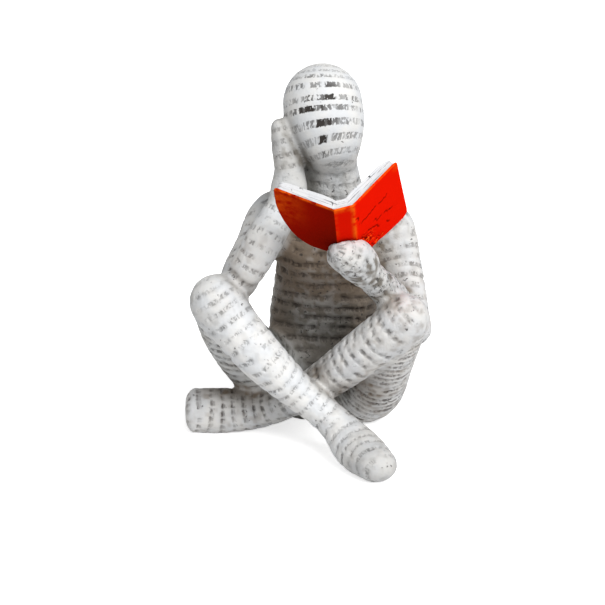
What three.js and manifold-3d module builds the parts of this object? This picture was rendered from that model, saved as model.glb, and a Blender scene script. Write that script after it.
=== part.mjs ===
// Reading woman: a seated figure with raised knees and crossed shins. Her right elbow rests on her right knee with
// the hand at her cheek, and her left fist holds an open book. The figure is one casting, and the book is a piece
// of its own, set into the fist.
// Millimetres, +Z up. She faces -Y, and right and left are hers. The origin is under the middle of the whole piece.
import * as THREE from "three";
import { edgeTable, triTable } from "three/addons/objects/MarchingCubes.js";
import { mergeVertices } from "three/addons/utils/BufferGeometryUtils.js";
import Module from "manifold-3d";

const wasm = await Module();
wasm.setup();

// Driving dimensions
const FIGURE_HEIGHT = 150; // underside of the seat to the crown
const FACETS_UP_THE_FIGURE = 40; // grid cells from the seat to the crown

const BOOK_HEIGHT = 35; // along the spine
const SPINE_WIDTH = 7.4;
const COVER_THICKNESS = 0.9;
const PAGE_BLOCK_THICKNESS = 3.8; // one side of the open book
const PAGE_INSET = 0.5; // the pages stand back from the covers' edges
const GUTTER_WIDTH = 4.5; // the pages' round fold between the two halves
const COVER_CORNER = 2; // radius of the covers' upper corners
// The book is hand made and a little skew. Each cover has its width at the top edge, how much wider it is at the
// bottom edge, how far its outer end rises above the spine's top, how far its bottom edge stands above the foot
// of the spine, and how far that edge drops outwards. Its lower corner is rounded along a share of the bottom edge
// and up a share of the outer side.
const RIGHT_COVER = { width: 24, flare: 0, rise: 2.4, foot: 4, drop: 0, roundAlong: 0.62, roundUp: 0.92 };
const LEFT_COVER = { width: 26, flare: 4.4, rise: -1.8, foot: -3.6, drop: 4.4, roundAlong: 0.09, roundUp: 0.07 };
const BOOK_IN_FIST_CLEARANCE = 0.3; // gap all round the book where the fist holds it

// Degrees. The covers open back from the spine, and the book leans towards its reader's lap.
const COVER_OPENING = 36.6;
const BOOK_LEAN = 40;
const BOOK_TURN = 14;
const BOOK_ROLL = 4;

// One hundredth of the figure's height: the unit of every place, radius and blend in the figure below.
const SHARE = FIGURE_HEIGHT / 100;

// Each limb is a chain of balls that a smooth path joins. A row is x, y, z, the ball's radius, and how thick the
// limb is for its width, measured along `flat`.
const LIMBS = {
  torso: {
    flat: [0, 1, 0],
    balls: [
      [3.4, 22.1, 7.1, 11.9, 0.84],
      [3.4, 23.5, 14.3, 12.9, 0.76],
      [3.2, 23.5, 25.5, 14.3, 0.66],
      [4.1, 20.7, 36.7, 14.0, 0.66],
      [5.4, 17.2, 48.5, 13.9, 0.65],
      [6.7, 15.8, 56.3, 12.0, 0.66],
      [6.4, 14.4, 61.4, 8.2, 0.8],
      [5.8, 12.3, 66.8, 6.8, 1],
      [5.4, 10.2, 75.5, 6.2, 1],
    ],
  },
  head: {
    flat: [0, 1, 0],
    balls: [
      [3.2, 10.9, 89.8, 10.2, 1.08],
      [3.7, 9.5, 85.9, 10.2, 1.05],
      [4.9, 7.4, 82.0, 8.5, 1],
      [5.4, 6.0, 80.0, 6.4, 1],
    ],
  },
  rightArm: {
    flat: [0, 1, 0],
    balls: [
      [-2.1, 18.6, 55.4, 5.9, 1],
      [-8.3, 17.9, 56.4, 7.3, 1],
      [-14.3, 10.2, 50.8, 5.1, 1],
      [-17.6, 2.5, 46.8, 4.7, 1],
      [-18.2, -0.4, 45.6, 4.1, 1],
    ],
  },
  rightForearm: {
    flat: [0, 1, 0],
    balls: [
      [-18.2, -1.1, 46.2, 4.1, 1],
      [-15.5, -3.2, 50.7, 4.8, 1],
      [-11.1, -3.2, 58.6, 4.9, 1],
      [-6.7, -0.4, 65.8, 4.2, 1],
      [-5.4, 1.8, 69.4, 4.0, 1],
    ],
  },
  rightHand: {
    flat: [1, 0, 0.3],
    balls: [
      [-5.4, 1.8, 68.9, 4.1, 1],
      [-5.4, 3.2, 73.8, 4.5, 0.85],
      [-6.7, 4.6, 79.8, 4.0, 0.8],
      [-7.7, 6.0, 84.0, 3.0, 0.8],
    ],
  },
  leftArm: {
    flat: [0, 1, 0],
    balls: [
      [15.5, 17.9, 55.0, 5.9, 1],
      [20.9, 18.6, 54.0, 6.2, 1],
      [23.9, 15.8, 45.6, 5.2, 1],
      [25.6, 10.2, 36.8, 5.1, 1],
      [26.9, 6.0, 30.1, 4.7, 1],
    ],
  },
  leftForearm: {
    flat: [0, 1, 0],
    balls: [
      [26.9, 6.0, 30.4, 4.5, 1],
      [24.4, 1.1, 36.8, 4.6, 1],
      [19.6, -5.3, 44.3, 4.4, 1],
      [14.7, -10.9, 50.9, 4.1, 1],
      [12.1, -13.7, 54.3, 4.0, 1],
    ],
  },
  leftFist: {
    flat: [0, 1, 0],
    balls: [
      [13.1, -12.7, 53.0, 3.9, 1],
      [10.5, -15.6, 56.6, 4.9, 1],
      [8.7, -16.9, 58.1, 4.8, 1],
    ],
  },
  leftThumb: {
    flat: [0, 1, 0],
    balls: [
      [14.5, -13.9, 55.9, 2.6, 1],
      [13.0, -15.8, 58.4, 2.6, 1],
      [12.4, -16.6, 59.2, 2.4, 1],
    ],
  },
  rightThigh: {
    flat: [0, 1, 0],
    balls: [
      [-2.7, 21.4, 8.0, 8.3, 1],
      [-13.0, 14.4, 16.2, 8.3, 1],
      [-19.9, 4.6, 28.7, 7.6, 1],
      [-23.6, -5.3, 41.0, 6.6, 1],
    ],
  },
  rightShin: {
    flat: [0, 0.3, 0.95],
    balls: [
      [-24.1, -6.0, 42.3, 6.5, 1],
      [-18.9, -8.1, 35.2, 6.5, 1],
      [-11.7, -9.5, 26.8, 6.0, 1],
      [-3.1, -8.7, 17.9, 4.9, 1],
      [2.9, -9.0, 12.7, 4.5, 1],
      [7.5, -11.9, 9.2, 4.9, 0.95],
      [12.8, -17.7, 5.2, 6.6, 0.82],
      [16.7, -24.2, 4.2, 5.5, 0.82],
    ],
  },
  leftThigh: {
    flat: [0, 1, 0],
    balls: [
      [9.5, 21.4, 7.4, 8.6, 1],
      [15.9, 13.7, 9.8, 8.7, 1],
      [19.6, 1.8, 22.7, 7.4, 1],
      [23.9, -10.2, 38.2, 6.0, 1],
    ],
  },
  leftShin: {
    flat: [0, 1, 0],
    balls: [
      [24.1, -10.9, 39.5, 5.8, 1],
      [19.8, -9.5, 34.6, 6.2, 1],
      [12.8, -6.0, 27.1, 6.1, 1],
      [4.3, -1.4, 18.4, 5.4, 1],
      [-4.8, 4.6, 10.3, 4.7, 1],
      [-12.9, 7.4, 6.6, 5.4, 1],
      [-22.1, 7.4, 5.8, 6.2, 0.9],
      [-30.5, 7.4, 5.8, 6.2, 0.9],
    ],
  },
};
const BUST = { balls: [[0.3, 11.4, 47.4, 4.0], [9.8, 11.2, 46.9, 4.0]], blend: 6 };
const TOE_END = -33.5; // the left foot's toes end in a flat across its length
const BOOK_SPINE_FOOT = [9.6, -12.3, 55.5]; // middle of the spine's lower edge, inside the fist

// Widths of the soft blends between the figure's parts.
const NECK_BLEND = 3.5;
const SHOULDER_BLEND = 5;
const HIP_BLEND = 5.5;
const KNEE_BLEND = 1.8;
const ELBOW_BLEND = 1.8;
const WRIST_BLEND = 2.8;
const TOE_BLEND = 3;
const TOUCH_BLEND = 2; // where one limb only rests on another
const BALL_SPACING = 0.7; // between the balls of a limb's path

// How finely the surfaces are made.
const EVENING_ROUNDS = 8; // rounds that even out the figure's triangles
const CREASE_REACH = 0.4; // in grid cells: how far a point may be pulled back to the surface
const CORNER_STEPS = 5; // facets round a corner of a cover
const GLUED_DEPTH = 0.1; // how far the page blocks reach into the covers
const SAME_POINT = 1e-4; // corners closer than this are one point

// A smooth path through rows of numbers, sampled about every `step` of its x, y, z length.
function smoothRows(rows, step) {
  const beyond = (a, b) => a.map((value, i) => 2 * value - b[i]);
  const last = rows.length - 1;
  const all = [beyond(rows[0], rows[1]), ...rows, beyond(rows[last], rows[last - 1])];
  const samples = [];
  for (let i = 1; i <= last; i++) {
    const [before, from, to, after] = all.slice(i - 1, i + 3);
    const length = Math.hypot(to[0] - from[0], to[1] - from[1], to[2] - from[2]);
    const steps = Math.max(2, Math.ceil(length / step));
    for (let k = 0; k < steps; k++) {
      const t = k / steps;
      samples.push(
        from.map(
          (value, j) =>
            value +
            0.5 * t * (to[j] - before[j]) +
            0.5 * t * t * (2 * before[j] - 5 * value + 4 * to[j] - after[j]) +
            0.5 * t * t * t * (after[j] - before[j] + 3 * (value - to[j])),
        ),
      );
    }
  }
  samples.push(rows[last]);
  return samples;
}

// A limb's balls in millimetres, close together along its path. `squash` makes a ball thinner along the limb's thin
// axis, and `scale` brings the distance to such a ball back to about millimetres.
function makeLimb({ flat, balls }) {
  const axis = new THREE.Vector3(...flat).normalize();
  const samples = smoothRows(balls, BALL_SPACING).map(([x, y, z, radius, flatness]) => ({
    x: x * SHARE,
    y: y * SHARE,
    z: z * SHARE,
    radius: radius * SHARE,
    squash: 1 / flatness ** 2 - 1,
    scale: (1 + flatness) / 2,
  }));
  return { axis, samples };
}

const limbs = Object.fromEntries(Object.entries(LIMBS).map(([name, limb]) => [name, makeLimb(limb)]));
const bust = BUST.balls.map((ball) => ball.map((value) => value * SHARE));

// Distance to a limb's surface, negative inside: the least over its balls, each flattened along the limb's axis.
function limbDistance({ axis, samples }, x, y, z) {
  let best = Infinity;
  for (const ball of samples) {
    const dx = x - ball.x;
    const dy = y - ball.y;
    const dz = z - ball.z;
    const along = dx * axis.x + dy * axis.y + dz * axis.z;
    const reach = Math.sqrt(dx * dx + dy * dy + dz * dz + ball.squash * along * along);
    best = Math.min(best, (reach - ball.radius) * ball.scale);
  }
  return best;
}

// The lesser of two distances, with a fillet about `width` wide where they are alike.
function blend(a, b, width) {
  const near = Math.max(width * SHARE - Math.abs(a - b), 0);
  return Math.min(a, b) - (near * near) / (4 * width * SHARE);
}

// Distance to the whole figure's surface, negative inside.
function figureDistance(x, y, z) {
  const d = {};
  for (const name in limbs) d[name] = limbDistance(limbs[name], x, y, z);
  const [bustRight, bustLeft] = bust.map((b) => Math.hypot(x - b[0], y - b[1], z - b[2]) - b[3]);
  const torso = blend(d.torso, Math.min(bustRight, bustLeft), BUST.blend);
  const leftFoot = -blend(-d.leftShin, x - TOE_END * SHARE, TOE_BLEND);

  const rightArm = blend(d.rightArm, d.rightForearm, ELBOW_BLEND);
  const leftArm = blend(d.leftArm, d.leftForearm, ELBOW_BLEND);
  const arms = blend(
    blend(rightArm, d.rightHand, WRIST_BLEND),
    blend(leftArm, blend(d.leftFist, d.leftThumb, TOUCH_BLEND), WRIST_BLEND),
    TOUCH_BLEND,
  );
  const legs = blend(
    blend(d.rightThigh, d.rightShin, KNEE_BLEND),
    blend(d.leftThigh, leftFoot, KNEE_BLEND),
    TOUCH_BLEND,
  );
  const upperBody = blend(
    blend(blend(torso, d.head, NECK_BLEND), d.rightArm, SHOULDER_BLEND),
    d.leftArm,
    SHOULDER_BLEND,
  );
  const hips = blend(blend(torso, d.rightThigh, HIP_BLEND), d.leftThigh, HIP_BLEND);
  return blend(blend(Math.min(upperBody, hips), legs, TOUCH_BLEND), arms, TOUCH_BLEND);
}

// Corners of a grid cell and the pairs of corners that its twelve edges join, in the order of the cell tables.
const CORNERS = [
  [0, 0, 0], [1, 0, 0], [1, 1, 0], [0, 1, 0],
  [0, 0, 1], [1, 0, 1], [1, 1, 1], [0, 1, 1],
];
const EDGES = [
  [0, 1], [1, 2], [2, 3], [3, 0], [4, 5], [5, 6],
  [6, 7], [7, 4], [0, 4], [1, 5], [2, 6], [3, 7],
];

// The surface where `distance` is zero, as points and triangles over a grid of cubic cells. Each crossed grid edge
// gives one point, which all the triangles there share, so the surface is closed.
function contour(distance, low, high, cell) {
  const [nx, ny, nz] = [0, 1, 2].map((axis) => Math.ceil((high[axis] - low[axis]) / cell) + 1);
  const index = (i, j, k) => i + nx * (j + ny * k);
  const place = (i, j, k) => [low[0] + i * cell, low[1] + j * cell, low[2] + k * cell];
  const values = new Float64Array(nx * ny * nz);
  for (let k = 0; k < nz; k++)
    for (let j = 0; j < ny; j++)
      for (let i = 0; i < nx; i++) values[index(i, j, k)] = distance(...place(i, j, k));

  const points = [];
  const triangles = [];
  const pointOnEdge = new Map();
  function edgePoint(i, j, k, edge) {
    const [a, b] = EDGES[edge].map((corner) => CORNERS[corner].map((step, axis) => step + [i, j, k][axis]));
    const [ia, ib] = [index(...a), index(...b)];
    const key = Math.min(ia, ib) * values.length + Math.max(ia, ib);
    if (!pointOnEdge.has(key)) {
      const t = values[ia] / (values[ia] - values[ib]);
      const [pa, pb] = [place(...a), place(...b)];
      pointOnEdge.set(key, points.length);
      points.push(pa.map((value, axis) => value + t * (pb[axis] - value)));
    }
    return pointOnEdge.get(key);
  }
  for (let k = 0; k + 1 < nz; k++)
    for (let j = 0; j + 1 < ny; j++)
      for (let i = 0; i + 1 < nx; i++) {
        let code = 0;
        CORNERS.forEach(([a, b, c], bit) => {
          if (values[index(i + a, j + b, k + c)] >= 0) code |= 1 << bit;
        });
        if (edgeTable[code] === 0) continue;
        for (let t = code * 16; triTable[t] !== -1; t += 3)
          triangles.push([0, 1, 2].map((n) => edgePoint(i, j, k, triTable[t + n])));
      }
  return { points, triangles };
}

// Moves a point along the slope of `distance` to where it is zero.
function pullOnto(distance, point) {
  const probe = SHARE / 30;
  const leastSteepness = 0.05; // flatter than this, the slope gives no way to the surface
  for (let round = 0; round < 3; round++) {
    const here = distance(...point);
    const slope = [0, 1, 2].map((axis) => {
      const ahead = [...point];
      ahead[axis] += probe;
      return (distance(...ahead) - here) / probe;
    });
    const steepness = slope[0] ** 2 + slope[1] ** 2 + slope[2] ** 2;
    if (steepness < leastSteepness) return;
    slope.forEach((value, axis) => (point[axis] -= (here * value) / steepness));
  }
}

// Evens out the triangles: each point goes halfway to the middle of its neighbours and back onto the surface. In a
// crease too narrow for the grid, where the surface is further away than `reach`, it stays between them.
function relax(distance, { points, triangles }, rounds, reach) {
  const neighbours = points.map(() => new Set());
  for (const [a, b, c] of triangles) {
    neighbours[a].add(b).add(c);
    neighbours[b].add(a).add(c);
    neighbours[c].add(a).add(b);
  }
  for (let round = 0; round < rounds; round++) {
    const middles = neighbours.map((around) => {
      const sum = [0, 0, 0];
      for (const n of around) points[n].forEach((value, axis) => (sum[axis] += value));
      return sum.map((value) => value / around.size);
    });
    points.forEach((point, n) => {
      point.forEach((value, axis) => (point[axis] = (value + middles[n][axis]) / 2));
      const pulled = [...point];
      pullOnto(distance, pulled);
      const pull = Math.hypot(...pulled.map((value, axis) => value - point[axis]));
      if (pull < reach) pulled.forEach((value, axis) => (point[axis] = value));
    });
  }
}

// A closed geometry as a solid that can be cut and joined.
function toSolid(geometry) {
  const bare = geometry.clone();
  bare.deleteAttribute("normal");
  bare.deleteAttribute("uv");
  const merged = mergeVertices(bare, SAME_POINT);
  return new wasm.Manifold(
    new wasm.Mesh({
      numProp: 3,
      vertProperties: new Float32Array(merged.attributes.position.array),
      triVerts: new Uint32Array(merged.index.array),
    }),
  );
}

function toGeometry(solid) {
  const mesh = solid.getMesh();
  const geometry = new THREE.BufferGeometry();
  geometry.setAttribute("position", new THREE.BufferAttribute(new Float32Array(mesh.vertProperties), 3));
  geometry.setIndex(new THREE.BufferAttribute(new Uint32Array(mesh.triVerts), 1));
  geometry.computeVertexNormals();
  return geometry;
}

// A box between two corners.
function boxBetween(low, high) {
  const size = high.map((value, axis) => value - low[axis]);
  const box = new THREE.BoxGeometry(...size);
  return box.translate(...low.map((value, axis) => value + size[axis] / 2));
}

// The book in its own frame: x across the spine, y out of its back, z up the spine, with z = 0 at the lower edge.
// `room` is added all round, for the hollow that the fist keeps free.
function bookSolid(room) {
  const far = 4 * (BOOK_HEIGHT + LEFT_COVER.width);
  // A cover or page outline in its own plane, x from the spine's edge outwards and y up, with `inset` taken off its
  // edges. It starts behind the spine's edge, so that the two halves meet.
  function leafOutline(cover, inset) {
    const start = -SPINE_WIDTH;
    const top = (x) => BOOK_HEIGHT - inset + (cover.rise * x) / cover.width;
    const bottom = (x) => cover.foot + inset - (cover.drop * x) / cover.width;
    const topEnd = cover.width - inset;
    const bottomEnd = topEnd + cover.flare;
    const outerFoot = bottom(cover.width);
    const cornerHeight = top(cover.width) - COVER_CORNER;
    const roundAlong = cover.roundAlong * bottomEnd;
    const roundUp = cover.roundUp * (cornerHeight - outerFoot);
    const shape = new THREE.Shape();
    shape.moveTo(start, bottom(start));
    shape.lineTo(bottomEnd - roundAlong, outerFoot);
    shape.absellipse(
      bottomEnd - roundAlong, outerFoot + roundUp, roundAlong, roundUp, -Math.PI / 2, 0, false,
    );
    shape.lineTo(topEnd, cornerHeight);
    shape.absarc(topEnd - COVER_CORNER, cornerHeight, COVER_CORNER, 0, Math.PI / 2, false);
    shape.lineTo(start, top(start));
    return shape;
  }
  // A leaf between two depths below the cover's outer face, turned back from the spine's edge by the opening.
  function leaf(side, inset, from, to) {
    const cover = side > 0 ? RIGHT_COVER : LEFT_COVER;
    const geometry = new THREE.ExtrudeGeometry(leafOutline(cover, inset), {
      depth: to - from,
      bevelEnabled: false,
      curveSegments: CORNER_STEPS,
    });
    geometry.rotateX(Math.PI / 2); // the outline's height turns up the spine, its depth towards -Y
    geometry.translate(0, -from, 0);
    geometry.rotateZ(-THREE.MathUtils.degToRad(COVER_OPENING));
    geometry.translate(SPINE_WIDTH / 2, 0, 0);
    const solid = toSolid(geometry);
    return side > 0 ? solid : solid.mirror([1, 0, 0]);
  }
  const halves = [-1, 1].map((side) => {
    const pageTop = COVER_THICKNESS + PAGE_BLOCK_THICKNESS + room;
    const cover = leaf(side, -room, -room, COVER_THICKNESS);
    const pages = leaf(side, PAGE_INSET - room, COVER_THICKNESS - GLUED_DEPTH, pageTop);
    const ownSide = side > 0 ? [[0, -far, -far], [far, 0, far]] : [[-far, -far, -far], [0, 0, far]];
    return cover.add(pages).intersect(toSolid(boxBetween(...ownSide)));
  });
  // Between the halves the pages fold over in a strip GUTTER_WIDTH wide, level with both page surfaces there.
  const opening = THREE.MathUtils.degToRad(COVER_OPENING);
  const pageDepth = (COVER_THICKNESS + PAGE_BLOCK_THICKNESS + room) / Math.cos(opening);
  const foldDepth = (SPINE_WIDTH / 2 - GUTTER_WIDTH / 2) * Math.tan(opening) - pageDepth;
  const fold = new THREE.ExtrudeGeometry(
    new THREE.Shape([
      new THREE.Vector2(-GUTTER_WIDTH / 2, foldDepth),
      new THREE.Vector2(GUTTER_WIDTH / 2, foldDepth),
      new THREE.Vector2(0, -COVER_THICKNESS),
    ]),
    { depth: BOOK_HEIGHT - RIGHT_COVER.foot - 2 * (PAGE_INSET - room), bevelEnabled: false },
  ).translate(0, 0, RIGHT_COVER.foot + PAGE_INSET - room);
  const spine = toSolid(
    boxBetween(
      [-SPINE_WIDTH / 2 - room, -COVER_THICKNESS, -room],
      [SPINE_WIDTH / 2 + room, room, BOOK_HEIGHT + room],
    ),
  );
  return halves[0].add(halves[1]).add(spine).add(toSolid(fold));
}

// The book's place: its frame leans, turns and rolls about the foot of the spine.
function bookPlace() {
  const [lean, turn, roll] = [BOOK_LEAN, BOOK_TURN, BOOK_ROLL].map(THREE.MathUtils.degToRad);
  const place = new THREE.Matrix4().makeTranslation(...BOOK_SPINE_FOOT.map((value) => value * SHARE));
  place.multiply(new THREE.Matrix4().makeRotationX(lean));
  place.multiply(new THREE.Matrix4().makeRotationY(-roll));
  place.multiply(new THREE.Matrix4().makeRotationZ(turn + Math.PI));
  return place;
}

function placedBook() {
  return toSolid(toGeometry(bookSolid(0)).applyMatrix4(bookPlace()));
}

// What the fist leaves free: the book with its clearance all round, and the reader's side of the pages near the
// gutter, in a wedge that spreads over half of the narrower cover. So the hand holds the spine from outside.
function bookHollow() {
  const opening = THREE.MathUtils.degToRad(COVER_OPENING);
  const spread = Math.min(RIGHT_COVER.width, LEFT_COVER.width) / 2;
  const inner = SPINE_WIDTH / 2 - COVER_THICKNESS;
  const side = [
    [inner, -spread],
    [inner + spread * Math.cos(opening), -COVER_THICKNESS - spread * Math.sin(opening)],
    [inner, -COVER_THICKNESS],
  ];
  const outline = [...side, ...side.map(([x, y]) => [-x, y]).reverse()];
  const wedge = new THREE.ExtrudeGeometry(
    new THREE.Shape(outline.map(([x, y]) => new THREE.Vector2(x, y))),
    { depth: BOOK_HEIGHT - RIGHT_COVER.foot, bevelEnabled: false },
  ).translate(0, 0, RIGHT_COVER.foot);
  const hollow = bookSolid(BOOK_IN_FIST_CLEARANCE).add(toSolid(wedge));
  return toSolid(toGeometry(hollow).applyMatrix4(bookPlace()));
}

// The figure's surface, cut flat at the ground and hollowed for the book where the fist holds it.
function figureSolid() {
  const cell = FIGURE_HEIGHT / FACETS_UP_THE_FIGURE;
  const balls = Object.values(limbs).flatMap(({ samples }) => samples);
  const margin = 1.5 * cell;
  const low = ["x", "y", "z"].map((axis) => Math.min(...balls.map((b) => b[axis] - b.radius)) - margin);
  const high = ["x", "y", "z"].map((axis) => Math.max(...balls.map((b) => b[axis] + b.radius)) + margin);
  const surface = contour(figureDistance, low, high, cell);
  relax(figureDistance, surface, EVENING_ROUNDS, CREASE_REACH * cell);
  const geometry = new THREE.BufferGeometry();
  geometry.setAttribute("position", new THREE.Float32BufferAttribute(surface.points.flat(), 3));
  geometry.setIndex(surface.triangles.flat());
  const ground = boxBetween(
    low.map((value) => value - margin),
    [high[0] + margin, high[1] + margin, 0],
  );
  return toSolid(geometry).subtract(toSolid(ground)).subtract(bookHollow());
}

const figure = new THREE.Mesh(
  toGeometry(figureSolid()),
  new THREE.MeshStandardMaterial({ color: 0xdedcd8, roughness: 0.75, metalness: 0 }),
);
figure.name = "reading_figure";

const book = new THREE.Mesh(
  toGeometry(placedBook()),
  new THREE.MeshStandardMaterial({ color: 0xd8260c, roughness: 0.45, metalness: 0 }),
);
book.name = "open_book";

const readingWoman = new THREE.Group();
readingWoman.add(figure, book);
const box = new THREE.Box3().setFromObject(readingWoman);
readingWoman.position.set(-(box.min.x + box.max.x) / 2, -(box.min.y + box.max.y) / 2, -box.min.z);

export default readingWoman;
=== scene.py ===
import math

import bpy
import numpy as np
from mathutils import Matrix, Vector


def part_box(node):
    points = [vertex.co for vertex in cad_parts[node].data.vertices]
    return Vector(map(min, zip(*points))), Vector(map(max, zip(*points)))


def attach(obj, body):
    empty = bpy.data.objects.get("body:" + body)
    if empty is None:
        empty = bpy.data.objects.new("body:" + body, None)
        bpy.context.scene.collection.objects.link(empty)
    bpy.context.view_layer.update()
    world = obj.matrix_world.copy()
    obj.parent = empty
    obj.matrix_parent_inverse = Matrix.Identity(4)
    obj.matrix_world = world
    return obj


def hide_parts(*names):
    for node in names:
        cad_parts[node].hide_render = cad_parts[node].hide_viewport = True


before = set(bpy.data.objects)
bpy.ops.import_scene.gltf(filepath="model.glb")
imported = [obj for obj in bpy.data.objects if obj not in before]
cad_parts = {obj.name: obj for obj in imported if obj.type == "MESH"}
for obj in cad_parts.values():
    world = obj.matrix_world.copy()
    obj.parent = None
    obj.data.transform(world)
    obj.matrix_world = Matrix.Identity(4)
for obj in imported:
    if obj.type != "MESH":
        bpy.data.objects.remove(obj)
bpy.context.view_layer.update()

# Reading woman: the visual model of a seated resin figurine that is covered with rows of small marks and
# holds an open red book. Metres, +Z up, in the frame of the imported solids. She faces -Y, and right and left
# are hers. Lengths in the tables and in the functions that make surfaces are millimetres until a mesh is
# made.

bl_info = {
    "name": "Reading Woman Figurine",
    "version": (1, 0, 0),
    "blender": (4, 5, 0),
    "location": "View3D > Sidebar > Figurine",
    "description": "Makes the figure, its open book and the studio around them",
    "category": "Add Mesh",
}

FIGURE_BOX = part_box("reading_figure")
BOOK_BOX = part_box("open_book")
MM = 0.001
CENTIMETRE = 10.0

# The figure: limbs as chains of balls, in hundredths of its height. A row is x, y, z, the ball's radius,
# and how thick the limb is for its width, measured along the axis that follows the limb's name.
FIGURE_HEIGHT = 150.0
SHARE = FIGURE_HEIGHT / 100
BALL_SPACING = 0.7
LIMBS = {
    "torso": ((0, 1, 0), [
        (3.4, 22.1, 7.1, 11.9, 0.84), (3.4, 23.5, 14.3, 12.9, 0.76), (3.6, 23.25, 25.5, 14.7, 0.66),
        (4.6, 20.4, 36.7, 14.5, 0.66), (5.6, 17.1, 48.5, 14.1, 0.65), (6.7, 15.8, 56.3, 12.0, 0.66),
        (6.2, 14.4, 61.4, 9.3, 0.8), (5.6, 12.3, 66.8, 8.1, 1), (4.8, 10.2, 75.5, 7.0, 1)]),
    "head": ((0, 1, 0), [
        (3.2, 10.9, 89.8, 10.2, 1.08), (3.7, 9.5, 85.9, 10.2, 1.05), (4.9, 7.4, 82.0, 8.5, 1),
        (5.4, 6.0, 80.0, 6.4, 1)]),
    "right_arm": ((0, 1, 0), [
        (-2.1, 18.6, 55.4, 5.9, 1), (-8.3, 17.9, 56.4, 7.3, 1), (-14.3, 10.2, 50.8, 5.1, 1),
        (-17.6, 2.5, 46.8, 4.7, 1), (-18.2, -0.4, 45.6, 4.1, 1)]),
    "right_forearm": ((0, 1, 0), [
        (-18.2, -1.1, 46.2, 4.1, 1), (-15.5, -3.2, 50.7, 4.8, 1), (-11.1, -3.2, 58.6, 4.9, 1),
        (-6.7, -0.4, 65.8, 4.2, 1), (-5.4, 1.8, 69.4, 4.0, 1)]),
    "right_hand": ((1, 0, 0.3), [
        (-5.4, 1.8, 68.9, 4.1, 1), (-5.4, 3.2, 73.8, 4.5, 0.85), (-6.7, 4.6, 79.8, 4.0, 0.8),
        (-7.7, 6.0, 84.0, 3.0, 0.8)]),
    "left_arm": ((0, 1, 0), [
        (15.5, 17.9, 55.0, 5.9, 1), (20.9, 18.6, 54.0, 6.2, 1), (23.9, 15.8, 45.6, 5.2, 1),
        (25.6, 10.2, 36.8, 5.1, 1), (26.9, 6.0, 30.1, 4.7, 1)]),
    "left_forearm": ((0, 1, 0), [
        (26.9, 6.0, 30.4, 4.5, 1), (24.4, 1.1, 36.8, 4.6, 1), (19.6, -5.3, 44.3, 4.4, 1),
        (14.7, -10.9, 50.9, 4.1, 1), (12.1, -13.7, 54.3, 4.0, 1)]),
    "left_fist": ((0, 1, 0), [
        (13.1, -12.7, 53.0, 3.9, 1), (10.5, -15.6, 56.6, 4.9, 1), (8.7, -16.9, 58.1, 4.8, 1)]),
    "left_thumb": ((0, 1, 0), [
        (14.5, -13.9, 55.9, 2.6, 1), (13.0, -15.8, 58.4, 2.6, 1), (12.4, -16.6, 59.2, 2.4, 1)]),
    "right_thigh": ((0, 1, 0), [
        (-2.7, 21.4, 8.0, 8.3, 1), (-13.0, 14.4, 16.2, 8.3, 1), (-19.9, 4.6, 28.7, 7.6, 1),
        (-23.6, -5.3, 41.0, 6.6, 1)]),
    "right_shin": ((0, 0.3, 0.95), [
        (-24.1, -6.0, 42.3, 6.5, 1), (-18.9, -8.1, 35.2, 6.5, 1), (-11.7, -9.5, 26.8, 6.0, 1),
        (-3.1, -8.7, 17.9, 4.9, 1), (2.9, -9.0, 12.7, 4.5, 1), (7.5, -11.9, 9.2, 4.9, 0.95),
        (12.8, -17.7, 5.2, 6.6, 0.82), (16.7, -24.2, 4.2, 5.5, 0.82)]),
    "left_thigh": ((0, 1, 0), [
        (9.5, 21.4, 7.4, 8.6, 1), (15.9, 13.7, 9.8, 8.7, 1), (19.6, 1.8, 22.7, 7.4, 1),
        (23.9, -10.2, 38.2, 6.0, 1)]),
    "left_shin": ((0, 1, 0), [
        (24.1, -10.9, 39.5, 5.8, 1), (19.8, -9.5, 34.6, 6.2, 1), (12.8, -6.0, 27.1, 6.1, 1),
        (4.3, -1.4, 18.4, 5.4, 1), (-4.8, 4.6, 10.3, 4.7, 1), (-12.9, 7.4, 6.6, 5.4, 1),
        (-22.1, 7.4, 5.8, 6.2, 0.9), (-30.5, 7.4, 5.8, 6.2, 0.9)]),
}
BUST = ((0.3, 11.4, 47.4, 4.0), (9.8, 11.2, 46.9, 4.0))
TOE_END = -33.5
BLENDS = {
    "bust": 6, "neck": 3.5, "shoulder": 5, "hip": 5.5, "knee": 1.8, "elbow": 1.8, "wrist": 2.8, "toe": 3,
    "touch": 2,
}

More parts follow.
